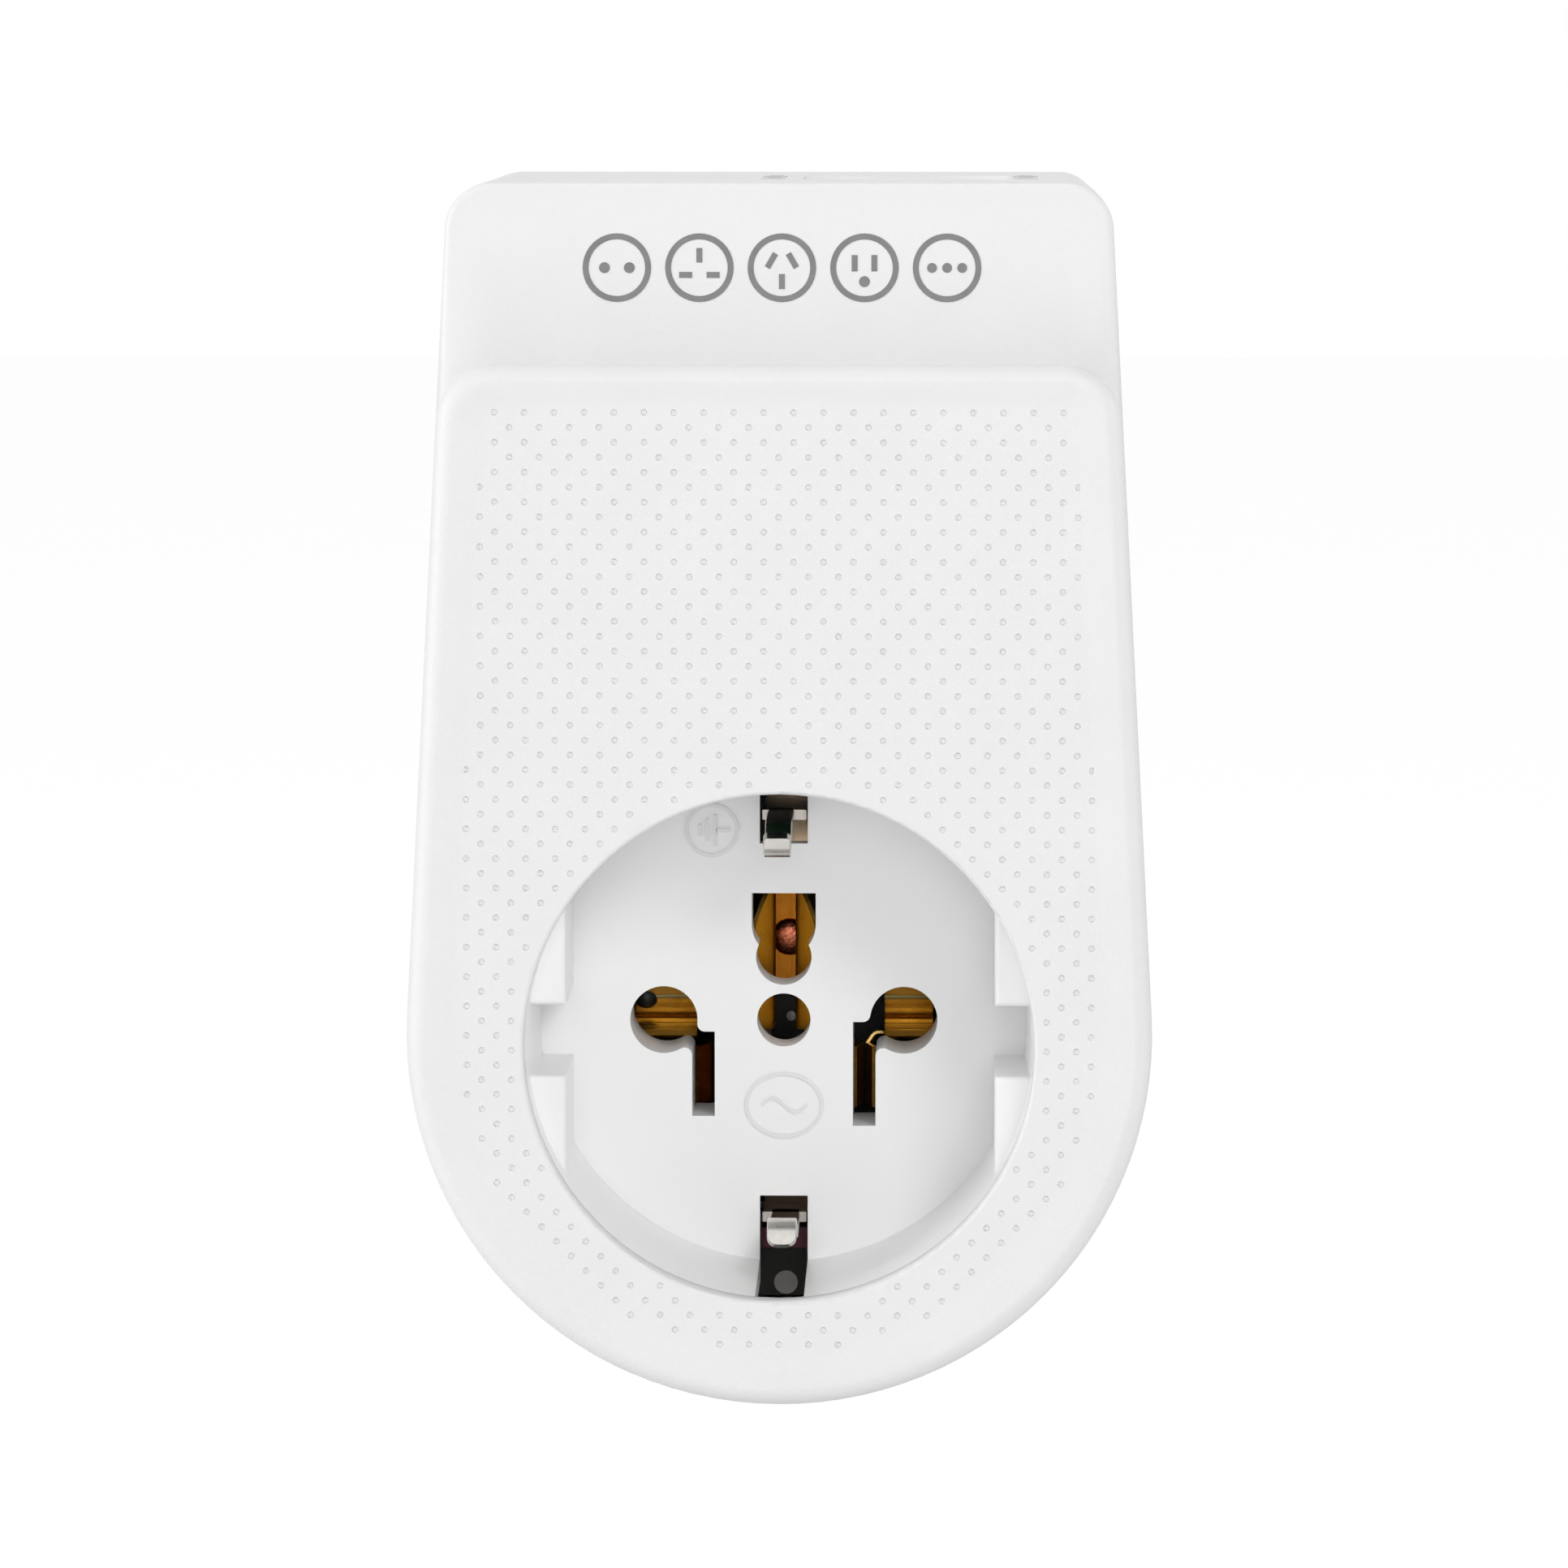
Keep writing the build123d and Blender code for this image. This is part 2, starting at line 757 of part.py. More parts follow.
def make_plug_pin(name):
    x, z, turn, length = plug_pins[name]
    corner = pin_corner
    with BuildPart() as pin:
        blade_end = -length
        blade = upright_section(blade_end, x, z, pin_thickness, pin_width, corner, turn)
        if name == "earth":
            extrude(blade, amount=length + wall)
        else:
            core = upright_section(
                -sleeve_length,
                x,
                z,
                pin_thickness - 2 * sleeve_wall,
                pin_width - 2 * sleeve_wall,
                corner / 2,
                turn,
            )
            inner = upright_section(sleeve_sink, x, z, pin_thickness, pin_width, corner, turn)
            extrude(blade, amount=length - sleeve_length)
            extrude(core, amount=sleeve_length + sleeve_sink)
            extrude(inner, amount=wall - sleeve_sink)
        chamfer(edges_at(blade_end, pin.edges()), pin_tip_chamfer)
        root = upright_section(wall, x, z, pin_root_thickness, pin_root_width, pin_root_corner, turn)
        extrude(root, amount=carrier_thickness)
    return pin.part


def make_pin_sleeve(name):
    x, z, turn, length = plug_pins[name]
    with BuildPart() as sleeve:
        outer = upright_section(-sleeve_length, x, z, pin_thickness, pin_width, pin_corner, turn)
        inner = upright_section(
            -sleeve_length,
            x,
            z,
            pin_thickness - 2 * sleeve_wall,
            pin_width - 2 * sleeve_wall,
            pin_corner / 2,
            turn,
        )
        extrude(outer, amount=sleeve_length + sleeve_sink)
        extrude(inner, amount=sleeve_length + sleeve_sink, mode=Mode.SUBTRACT)
    return sleeve.part


def make_port_shell(level, width, height, corner, length):
    # Drawn metal shell, open at the top
    inner_corner = corner - usb_shell_wall
    with BuildPart() as shell:
        extrude(top_section(port_mouth_z, level, width, height, corner, usb_x), amount=length)
        inner = top_section(
            port_mouth_z,
            level,
            width - 2 * usb_shell_wall,
            height - 2 * usb_shell_wall,
            inner_corner,
            usb_x,
        )
        extrude(inner, amount=length - usb_shell_wall, mode=Mode.SUBTRACT)
    return shell.part


def make_port_tongue(level, width, height, corner, length, tongue_width, tongue_height, tongue_length):
    # Moulded block at the bottom of the shell, with the tongue that carries the contacts
    block_top = port_mouth_z - length + usb_shell_wall + usb_block_length
    inset = usb_shell_wall + thread_play
    with BuildPart() as tongue:
        block = top_section(
            block_top, level, width - 2 * inset, height - 2 * inset, corner - inset, usb_x
        )
        extrude(block, amount=usb_block_length)
        bar = top_section(
            block_top + tongue_length, level, tongue_width, tongue_height, tongue_height / 4, usb_x
        )
        extrude(bar, amount=tongue_length)
    return tongue.part


def make_charger_board():
    middle = (board_low + board_top) / 2
    with BuildPart() as board:
        extrude(
            upright_section(
                board_level, 0, middle, 2 * board_half_width, board_top - board_low, board_corner
            ),
            amount=board_thickness,
        )
        notch_sketch = discs(board_level, board_notch, screw_places[:2])
        extrude(notch_sketch, amount=board_thickness, mode=Mode.SUBTRACT)
        with BuildSketch(socket_plane(board_level)):
            for side in (-1, 1):
                with Locations((side * board_half_width, board_top)):
                    notch = board_half_width - screw_top_x + board_notch
                    Rectangle(2 * notch - board_notch, 2 * (board_top - screw_top_z))
        extrude(amount=board_thickness, mode=Mode.SUBTRACT)
    return board.part


def make_transformer_core():
    with BuildPart() as core:
        with BuildSketch(socket_plane(core_level)):
            with Locations((core_x, core_z)):
                Rectangle(core_width, core_height)
                Rectangle(core_width - 2 * core_limb, core_height - 2 * core_limb, mode=Mode.SUBTRACT)
                Rectangle(2 * core_limb, core_height)
        extrude(amount=core_depth)
    return core.part


def make_transformer_winding():
    coil_height = core_height - 2 * core_limb - 2 * port_clearance
    coil_width = core_width - 2 * core_limb - 2 * port_clearance
    low_z = core_z + coil_height / 2
    middle_level = core_level + core_depth / 2
    coil_depth = 2 * (middle_level - board_front_level)
    with BuildPart() as winding:
        extrude(
            top_section(low_z, middle_level, coil_width, coil_depth, winding_corner, core_x),
            amount=coil_height,
        )
        bore = top_section(
            low_z,
            middle_level,
            2 * core_limb + 2 * port_clearance,
            core_depth + 2 * port_clearance,
            winding_bore_corner,
            core_x,
        )
        extrude(bore, amount=coil_height, mode=Mode.SUBTRACT)
    return winding.part


def make_capacitor(x, z, radius, length):
    # Can with its crimp groove near the board and a rounded far end
    with BuildPart() as can:
        extrude(disc(board_front_level, radius, x, z), amount=length)
        fillet(edges_at(board_front_level + length, can.edges()), can_round)
        with BuildSketch(socket_plane(board_front_level + groove_level)):
            with Locations((x, z)):
                Circle(radius)
                Circle(radius - groove_depth, mode=Mode.SUBTRACT)
        extrude(amount=groove_width, mode=Mode.SUBTRACT)
    return can.part


def make_chip(x, z, width, height, thickness):
    # Moulded package on the rear of the board
    with BuildPart() as chip:
        extrude(
            upright_section(board_level - thickness, x, z, width, height, chip_round), amount=thickness
        )
        chamfer(edges_at(board_level - thickness, chip.edges()), chip_round)
    return chip.part


def make_fuse():
    # Round cartridge that lies on the board
    level = board_front_level + fuse_radius
    with BuildPart() as fuse:
        with BuildSketch(side_plane(fuse_x + fuse_length / 2)):
            with Locations((level, fuse_z)):
                Circle(fuse_radius)
        extrude(amount=fuse_length)
        fillet(fuse.edges().filter_by(GeomType.CIRCLE), fuse_radius / 5)
    return fuse.part


def make_safety_capacitor():
    # Coated disc that stands on edge on the board
    with BuildPart() as disc_capacitor:
        with BuildSketch(side_plane(safety_x + safety_thickness / 2)):
            with Locations((board_front_level + safety_radius, safety_z)):
                Circle(safety_radius)
        extrude(amount=safety_thickness)
        fillet(disc_capacitor.edges().filter_by(GeomType.CIRCLE), safety_round)
    return disc_capacitor.part


def make_inductor():
    # Wound drum between two flanges
    flange = inductor_height / 6
    with BuildPart() as drum:
        extrude(disc(board_front_level, inductor_radius, inductor_x, inductor_z), amount=inductor_height)
        with BuildSketch(socket_plane(board_front_level + flange)):
            with Locations((inductor_x, inductor_z)):
                Circle(inductor_radius)
                Circle(inductor_core_radius, mode=Mode.SUBTRACT)
        extrude(amount=inductor_height - 2 * flange, mode=Mode.SUBTRACT)
    return drum.part


def make_wire(side):
    # Up from the contact strip, over to the board and into it, on two tangent bends
    turn_level = (strip_front_level + board_level) / 2
    end_z = wire_start_z + wire_rise
    points = [
        (strip_front_level, wire_start_z),
        (turn_level, wire_start_z),
        (turn_level, end_z),
        (board_level, end_z),
    ]
    with BuildPart() as wire:
        with BuildLine(side_plane(side * wire_x)) as route:
            FilletPolyline(*points, radius=wire_bend)
        with BuildSketch(socket_plane(strip_front_level)):
            with Locations((side * wire_x, wire_start_z)):
                Circle(wire_radius)
        sweep(path=route.line)
    return wire.part


def make_housing_screws():
    # Countersunk screws driven from the rear, one for each pair of posts
    shank_end = screw_sink + screw_length
    with BuildPart() as screws:
        for x, z in screw_places:
            head = disc(screw_sink, screw_head_radius, x, z)
            neck = disc(screw_sink + screw_head_height, screw_radius, x, z)
            loft([head, neck])
            extrude(neck, amount=shank_end - screw_sink - screw_head_height)
        chamfer(edges_at(shank_end, screws.edges()), screw_radius / 2)
    return screws.part


os.makedirs("parts", exist_ok=True)

save(make_front_cover(), "front_cover")
save(make_rear_housing(), "rear_housing")
save(make_socket_cup(), "socket_cup")
save(make_contact_carrier(), "contact_carrier")
save(make_line_contact(-1), "live_contact")
save(make_line_contact(1), "neutral_contact")
save(make_earth_contact(), "earth_contact")
save(make_earth_strap(), "earth_strap")
save(make_earth_rivet(), "earth_rivet")
save(make_earth_clip(1), "earth_clip_top")
save(make_earth_clip(-1), "earth_clip_bottom")
for pin_name in plug_pins:
    save(make_plug_pin(pin_name), f"plug_pin_{pin_name}")
for pin_name in ("live", "neutral"):
    save(make_pin_sleeve(pin_name), f"pin_sleeve_{pin_name}")
save(make_port_shell(*usb_ports[0], usb_a_length), "usb_a_shell")
save(
    make_port_tongue(
        *usb_ports[0], usb_a_length, usb_a_tongue_width, usb_a_tongue_thickness, usb_a_tongue_length
    ),
    "usb_a_tongue",
)
save(make_port_shell(*usb_ports[1], usb_c_length), "usb_c_shell")
save(
    make_port_tongue(
        *usb_ports[1], usb_c_length, usb_c_tongue_width, usb_c_tongue_thickness, usb_c_tongue_length
    ),
    "usb_c_tongue",
)
save(make_charger_board(), "charger_board")
save(make_transformer_core(), "transformer_core")
save(make_transformer_winding(), "transformer_winding")
save(make_capacitor(input_can_x, input_can_z, input_can_radius, input_can_length), "input_capacitor")
save(make_capacitor(output_can_x, output_can_z, output_can_radius, output_can_length), "output_capacitor")
save(make_chip(bridge_x, bridge_z, bridge_width, bridge_height, bridge_thickness), "bridge_rectifier")
save(make_chip(chip_x, chip_z, chip_width, chip_height, chip_thickness), "controller_chip")
save(make_fuse(), "fuse")
save(make_safety_capacitor(), "safety_capacitor")
save(make_inductor(), "inductor")
save(make_wire(-1), "live_wire")
save(make_wire(1), "neutral_wire")
save(make_housing_screws(), "housing_screws")
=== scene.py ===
import math
import bmesh
import bpy
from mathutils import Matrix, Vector, geometry


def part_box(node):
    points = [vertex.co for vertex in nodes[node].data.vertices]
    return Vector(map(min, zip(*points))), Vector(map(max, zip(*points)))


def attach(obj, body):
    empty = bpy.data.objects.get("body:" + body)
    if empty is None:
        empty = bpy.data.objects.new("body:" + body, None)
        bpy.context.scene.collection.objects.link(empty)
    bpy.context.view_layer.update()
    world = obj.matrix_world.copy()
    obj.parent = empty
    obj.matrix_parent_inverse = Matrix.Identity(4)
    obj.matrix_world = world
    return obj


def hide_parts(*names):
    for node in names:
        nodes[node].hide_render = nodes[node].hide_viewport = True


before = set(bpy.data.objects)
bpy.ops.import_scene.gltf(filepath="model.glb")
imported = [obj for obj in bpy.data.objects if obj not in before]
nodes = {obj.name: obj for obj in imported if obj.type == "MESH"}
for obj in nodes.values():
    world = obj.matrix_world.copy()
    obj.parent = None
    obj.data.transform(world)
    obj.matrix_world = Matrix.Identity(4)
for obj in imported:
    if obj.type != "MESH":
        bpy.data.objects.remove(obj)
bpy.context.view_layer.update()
mm = 0.001
print("frame loaded:", len(nodes), "nodes")

# The socket's axis and the front levels, read from the frame
cupLow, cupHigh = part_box("socket_cup")
coverLow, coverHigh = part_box("front_cover")
axisX = (cupLow.x + cupHigh.x) / 2
axisZ = (cupLow.z + cupHigh.z) / 2
frontY = coverLow.y
frontLevels = {
    "flatSink": 0.3 * mm,  # the dimpled flat lies behind the rim by this much
    "stripSink": 1.0 * mm,
    "wellDepth": 17.5 * mm,
}
flatY = frontY + frontLevels["flatSink"]
stripY = frontY + frontLevels["stripSink"]
floorY = flatY + frontLevels["wellDepth"]


squareCorners = ((-1, -1), (1, -1), (1, 1), (-1, 1))


def place(across, up, y):
    # A point measured from the socket's axis
    return Vector((axisX + across, y, axisZ + up))


def meshPiece(name, mesh, material):
    piece = bpy.data.objects.new(name, mesh)
    bpy.context.scene.collection.objects.link(piece)
    mesh.materials.clear()
    mesh.materials.append(material)
    return piece


def fromBmesh(name, bm, material):
    mesh = bpy.data.meshes.new(name)
    bm.to_mesh(mesh)
    bm.free()
    return meshPiece(name, mesh, material)


def bridge(bm, lower, upper):
    # Faces between two closed loops of vertices
    count = len(lower)
    for i in range(count):
        j = (i + 1) % count
        bm.faces.new((lower[i], lower[j], upper[j], upper[i]))


# Shader node groups that several finishes share

def newGroup(name, inputs, outputs):
    group = bpy.data.node_groups.new(name, "ShaderNodeTree")
    for label, kind, value in inputs:
        socket = group.interface.new_socket(name=label, in_out="INPUT", socket_type=kind)
        socket.default_value = value
    for label, kind in outputs:
        group.interface.new_socket(name=label, in_out="OUTPUT", socket_type=kind)
    start = group.nodes.new("NodeGroupInput")
    end = group.nodes.new("NodeGroupOutput")
    return group, start, end


def addNode(tree, kind, settings=None, values=None):
    node = tree.nodes.new(kind)
    for key, value in (settings or {}).items():
        setattr(node, key, value)
    for key, value in (values or {}).items():
        node.inputs[key].default_value = value
    return node


def buildMouldGrain():
    # Spark-eroded mould texture: fine pimples over a slower unevenness
    group, start, end = newGroup(
        "mouldGrain",
        [("Grain", "NodeSocketFloat", 9000.0), ("Waviness", "NodeSocketFloat", 120.0)],
        [("Height", "NodeSocketFloat"), ("Shade", "NodeSocketFloat")],
    )
    link = group.links.new
    place3d = addNode(group, "ShaderNodeTexCoord")
    grain = addNode(group, "ShaderNodeTexNoise", values={"Detail": 2.0, "Roughness": 0.6})
    cells = addNode(group, "ShaderNodeTexVoronoi")
    slow = addNode(group, "ShaderNodeTexNoise", values={"Detail": 1.0})
    for texture in (grain, cells, slow):
        link(place3d.outputs["Object"], texture.inputs["Vector"])
    link(start.outputs["Grain"], grain.inputs["Scale"])
    link(start.outputs["Grain"], cells.inputs["Scale"])
    link(start.outputs["Waviness"], slow.inputs["Scale"])
    mixed = addNode(group, "ShaderNodeMath", {"operation": "MULTIPLY"})
    link(grain.outputs["Fac"], mixed.inputs[0])
    link(cells.outputs["Distance"], mixed.inputs[1])
    link(mixed.outputs[0], end.inputs["Height"])
    link(slow.outputs["Fac"], end.inputs["Shade"])
    return group


def buildDrawnMetal():
    # Fine parallel marks left by rolling and drawing, and a slow tarnish
    group, start, end = newGroup(
        "drawnMetal",
        [
            ("Stretch", "NodeSocketVector", (1.0, 1.0, 1.0)),
            ("Lines", "NodeSocketFloat", 4000.0),
            ("Patches", "NodeSocketFloat", 250.0),
        ],
        [("Height", "NodeSocketFloat"), ("Marks", "NodeSocketFloat"), ("Tarnish", "NodeSocketFloat")],
    )
    link = group.links.new
    place3d = addNode(group, "ShaderNodeTexCoord")
    stretch = addNode(group, "ShaderNodeVectorMath", {"operation": "MULTIPLY"})
    link(place3d.outputs["Object"], stretch.inputs[0])
    link(start.outputs["Stretch"], stretch.inputs[1])
    lines = addNode(group, "ShaderNodeTexNoise", values={"Detail": 3.0, "Roughness": 0.65})
    patches = addNode(group, "ShaderNodeTexNoise", values={"Detail": 4.0, "Roughness": 0.6})
    link(stretch.outputs[0], lines.inputs["Vector"])
    link(place3d.outputs["Object"], patches.inputs["Vector"])
    link(start.outputs["Lines"], lines.inputs["Scale"])
    link(start.outputs["Patches"], patches.inputs["Scale"])
    link(lines.outputs["Fac"], end.inputs["Height"])
    link(lines.outputs["Fac"], end.inputs["Marks"])
    link(patches.outputs["Fac"], end.inputs["Tarnish"])
    return group


mouldGrain = buildMouldGrain()
drawnMetal = buildDrawnMetal()
print("shared shader groups built")


def newFinish(name):
    material = bpy.data.materials.new(name)
    material.use_nodes = True
    tree = material.node_tree
    shader = next(n for n in tree.nodes if n.type == "BSDF_PRINCIPLED")
    return material, tree, shader


def placeGroup(tree, group, values):
    node = tree.nodes.new("ShaderNodeGroup")
    node.node_tree = group
    for key, value in values.items():
        node.inputs[key].default_value = value
    return node


def spread(tree, source, low, high):
    # Turns a mask around 0.5 into a number from low to high
    span = {"From Min": maskSpan[0], "From Max": maskSpan[1], "To Min": low, "To Max": high}
    ramp = addNode(tree, "ShaderNodeMapRange", values=span)
    tree.links.new(source, ramp.inputs["Value"])
    return ramp.outputs["Result"]


def blendColours(tree, source, first, second):
    mix = addNode(tree, "ShaderNodeMix", {"data_type": "RGBA"})
    mix.inputs["A"].default_value = (*first, 1)
    mix.inputs["B"].default_value = (*second, 1)
    tree.links.new(source, mix.inputs["Factor"])
    return mix.outputs["Result"]


def bumpFrom(tree, shader, height, strength, distance):
    bump = addNode(tree, "ShaderNodeBump", values={"Strength": strength, "Distance": distance})
    tree.links.new(height, bump.inputs["Height"])
    tree.links.new(bump.outputs["Normal"], shader.inputs["Normal"])


plasticIor = 1.46
maskSpan = (0.3, 0.7)  # where most values of a noise lie


def coverSurface(tree, shader, look, toneMask, roughMask, height):
    tone = spread(tree, toneMask, 0.0, 1.0)
    tree.links.new(blendColours(tree, tone, *look["colours"]), shader.inputs["Base Color"])
    tree.links.new(spread(tree, roughMask, *look["rough"]), shader.inputs["Roughness"])
    bumpFrom(tree, shader, height, *look["bump"])


def mouldedPlastic(name, look):
    material, tree, shader = newFinish(name)
    grain, waviness = look["scales"]
    marks = placeGroup(tree, mouldGrain, {"Grain": grain, "Waviness": waviness}).outputs
    coverSurface(tree, shader, look, marks["Shade"], marks["Shade"], marks["Height"])
    shader.inputs["IOR"].default_value = plasticIor
    return material


def workedMetal(name, look):
    material, tree, shader = newFinish(name)
    lines, patches = look["scales"]
    values = {"Stretch": look["stretch"], "Lines": lines, "Patches": patches}
    marks = placeGroup(tree, drawnMetal, values).outputs
    coverSurface(tree, shader, look, marks["Tarnish"], marks["Marks"], marks["Height"])
    shader.inputs["Metallic"].default_value = 1.0
    return material


# Each look has two colours that blend into each other, the lowest and highest roughness,
# the two scales of its shader group, and the strength and depth of its bump. A metal's
# stretch draws its marks out along an axis.
plasticLooks = {
    "coverPlastic": {
        "colours": ((0.845, 0.845, 0.848), (0.865, 0.865, 0.866)), "rough": (0.42, 0.5),
        "scales": (9000.0, 140.0), "bump": (0.35, 0.00006),
    },
    "housingPlastic": {
        "colours": ((0.845, 0.845, 0.848), (0.865, 0.865, 0.866)), "rough": (0.42, 0.52),
        "scales": (8000.0, 130.0), "bump": (0.35, 0.00006),
    },
    "cupPlastic": {
        "colours": ((0.92, 0.92, 0.92), (0.93, 0.93, 0.93)), "rough": (0.3, 0.38),
        "scales": (6000.0, 90.0), "bump": (0.1, 0.00003),
    },
    "carrierPlastic": {
        "colours": ((0.012, 0.012, 0.013), (0.02, 0.019, 0.018)), "rough": (0.35, 0.5),
        "scales": (7000.0, 200.0), "bump": (0.3, 0.00005),
    },
    "sleevePlastic": {
        "colours": ((0.014, 0.014, 0.015), (0.024, 0.024, 0.024)), "rough": (0.4, 0.52),
        "scales": (9000.0, 260.0), "bump": (0.25, 0.00004),
    },
    "portPlastic": {
        "colours": ((0.02, 0.02, 0.022), (0.03, 0.03, 0.032)), "rough": (0.4, 0.5),
        "scales": (9000.0, 400.0), "bump": (0.2, 0.00004),
    },
    "chipEpoxy": {
        "colours": ((0.02, 0.02, 0.021), (0.035, 0.035, 0.036)), "rough": (0.55, 0.7),
        "scales": (16000.0, 900.0), "bump": (0.5, 0.00005),
    },
    "canSleeve": {
        "colours": ((0.015, 0.02, 0.045), (0.02, 0.027, 0.06)), "rough": (0.2, 0.3),
        "scales": (3000.0, 300.0), "bump": (0.1, 0.00004),
    },
    "fuseCasing": {
        "colours": ((0.03, 0.028, 0.026), (0.05, 0.046, 0.042)), "rough": (0.45, 0.6),
        "scales": (9000.0, 500.0), "bump": (0.3, 0.00005),
    },
    "discEnamel": {
        "colours": ((0.03, 0.12, 0.42), (0.05, 0.16, 0.5)), "rough": (0.25, 0.4),
        "scales": (2500.0, 400.0), "bump": (0.3, 0.0001),
    },
    "ferriteBlock": {
        "colours": ((0.05, 0.05, 0.052), (0.075, 0.075, 0.078)), "rough": (0.5, 0.7),
        "scales": (14000.0, 700.0), "bump": (0.5, 0.00006),
    },
    "windingTape": {
        "colours": ((0.72, 0.5, 0.06), (0.8, 0.58, 0.1)), "rough": (0.22, 0.35),
        "scales": (1500.0, 300.0), "bump": (0.25, 0.00008),
    },
    "brownInsulation": {
        "colours": ((0.1, 0.035, 0.012), (0.13, 0.048, 0.018)), "rough": (0.35, 0.45),
        "scales": (3000.0, 500.0), "bump": (0.15, 0.00005),
    },
    "blueInsulation": {
        "colours": ((0.02, 0.08, 0.32), (0.03, 0.1, 0.38)), "rough": (0.35, 0.45),
        "scales": (3000.0, 500.0), "bump": (0.15, 0.00005),
    },
    "greyPrint": {
        "colours": ((0.2, 0.2, 0.202), (0.24, 0.24, 0.242)), "rough": (0.45, 0.6),
        "scales": (12000.0, 900.0), "bump": (0.3, 0.00003),
    },
    "faintPrint": {
        "colours": ((0.5, 0.5, 0.5), (0.56, 0.56, 0.56)), "rough": (0.45, 0.6),
        "scales": (12000.0, 900.0), "bump": (0.2, 0.00003),
    },
    # A darker copy of the cup plastic for the moulded well marks: painted shade
    "paintedShadeMarkPlastic": {
        "colours": ((0.8, 0.8, 0.8), (0.82, 0.82, 0.82)), "rough": (0.3, 0.38),
        "scales": (6000.0, 90.0), "bump": (0.1, 0.00003),
    },
    "maroonPlastic": {
        "colours": ((0.09, 0.002, 0.018), (0.11, 0.004, 0.024)), "rough": (0.5, 0.6),
        "scales": (8000.0, 300.0), "bump": (0.2, 0.00004),
    },
    "slatePlastic": {
        "colours": ((0.13, 0.13, 0.12), (0.17, 0.17, 0.155)), "rough": (0.5, 0.6),
        "scales": (8000.0, 300.0), "bump": (0.2, 0.00004),
    },
    "boardMask": {
        "colours": ((0.012, 0.16, 0.05), (0.02, 0.22, 0.075)), "rough": (0.25, 0.35),
        "scales": (5000.0, 350.0), "bump": (0.15, 0.00004),
    },
}
metalLooks = {
    "padGold": {
        "colours": ((0.8, 0.55, 0.2), (0.7, 0.46, 0.15)), "stretch": (1.0, 1.0, 0.15),
        "rough": (0.2, 0.35), "scales": (6000.0, 900.0), "bump": (0.1, 0.00002),
    },
    "contactBrass": {
        "colours": ((0.68, 0.44, 0.1), (0.6, 0.38, 0.08)), "stretch": (0.2, 1.0, 0.2),
        "rough": (0.26, 0.42), "scales": (5000.0, 500.0), "bump": (0.2, 0.00004),
    },
    "agedBrass": {
        "colours": ((0.6, 0.34, 0.06), (0.5, 0.26, 0.04)), "stretch": (0.2, 1.0, 1.0),
        "rough": (0.26, 0.42), "scales": (5000.0, 500.0), "bump": (0.25, 0.00004),
    },
    "oliveBrass": {
        "colours": ((0.58, 0.45, 0.19), (0.48, 0.36, 0.14)), "stretch": (0.2, 1.0, 1.0),
        "rough": (0.26, 0.42), "scales": (5000.0, 500.0), "bump": (0.25, 0.00004),
    },
    "warmBrass": {
        "colours": ((0.78, 0.3, 0.035), (0.66, 0.24, 0.025)), "stretch": (1.0, 1.0, 0.1),
        "rough": (0.3, 0.45), "scales": (5000.0, 500.0), "bump": (0.2, 0.00004),
    },
    # Brass colour lifted so the strap shows brighter where it lies in shade in the slots: painted light
    "paintedLightStrapBrass": {
        "colours": ((0.9, 0.7, 0.5), (0.72, 0.54, 0.37)), "stretch": (1.0, 1.0, 0.1),
        "rough": (0.12, 0.26), "scales": (5000.0, 400.0), "bump": (0.2, 0.00004),
    },
    "rivetCopper": {
        "colours": ((0.92, 0.3, 0.18), (0.6, 0.16, 0.09)), "stretch": (1.0, 1.0, 1.0),
        "rough": (0.2, 0.36), "scales": (4000.0, 1500.0), "bump": (0.5, 0.00008),
    },
    # A darker copy of the clip nickel for the clip legs: painted shade on their front-facing ends
    "paintedShadeNickel": {
        "colours": ((0.42, 0.38, 0.35), (0.34, 0.31, 0.28)), "stretch": (1.0, 1.0, 0.15),
        "rough": (0.25, 0.4), "scales": (4000.0, 500.0), "bump": (0.12, 0.00003),
    },
    "clipNickel": {
        "colours": ((0.72, 0.7, 0.66), (0.6, 0.58, 0.54)), "stretch": (1.0, 1.0, 0.15),
        "rough": (0.15, 0.28), "scales": (4000.0, 500.0), "bump": (0.12, 0.00003),
    },
    "pinNickel": {
        "colours": ((0.7, 0.68, 0.63), (0.62, 0.6, 0.55)), "stretch": (1.0, 0.15, 1.0),
        "rough": (0.18, 0.3), "scales": (5000.0, 350.0), "bump": (0.12, 0.00003),
    },
    "portSteel": {
        "colours": ((0.6, 0.59, 0.57), (0.52, 0.51, 0.49)), "stretch": (1.0, 1.0, 0.15),
        "rough": (0.2, 0.34), "scales": (5000.0, 400.0), "bump": (0.12, 0.00003),
    },
    "screwSteel": {
        "colours": ((0.55, 0.55, 0.54), (0.45, 0.45, 0.44)), "stretch": (1.0, 0.3, 1.0),
        "rough": (0.25, 0.4), "scales": (6000.0, 600.0), "bump": (0.2, 0.00003),
    },
}
finishes = {name: mouldedPlastic(name, look) for name, look in plasticLooks.items()}
finishes.update({name: workedMetal(name, look) for name, look in metalLooks.items()})

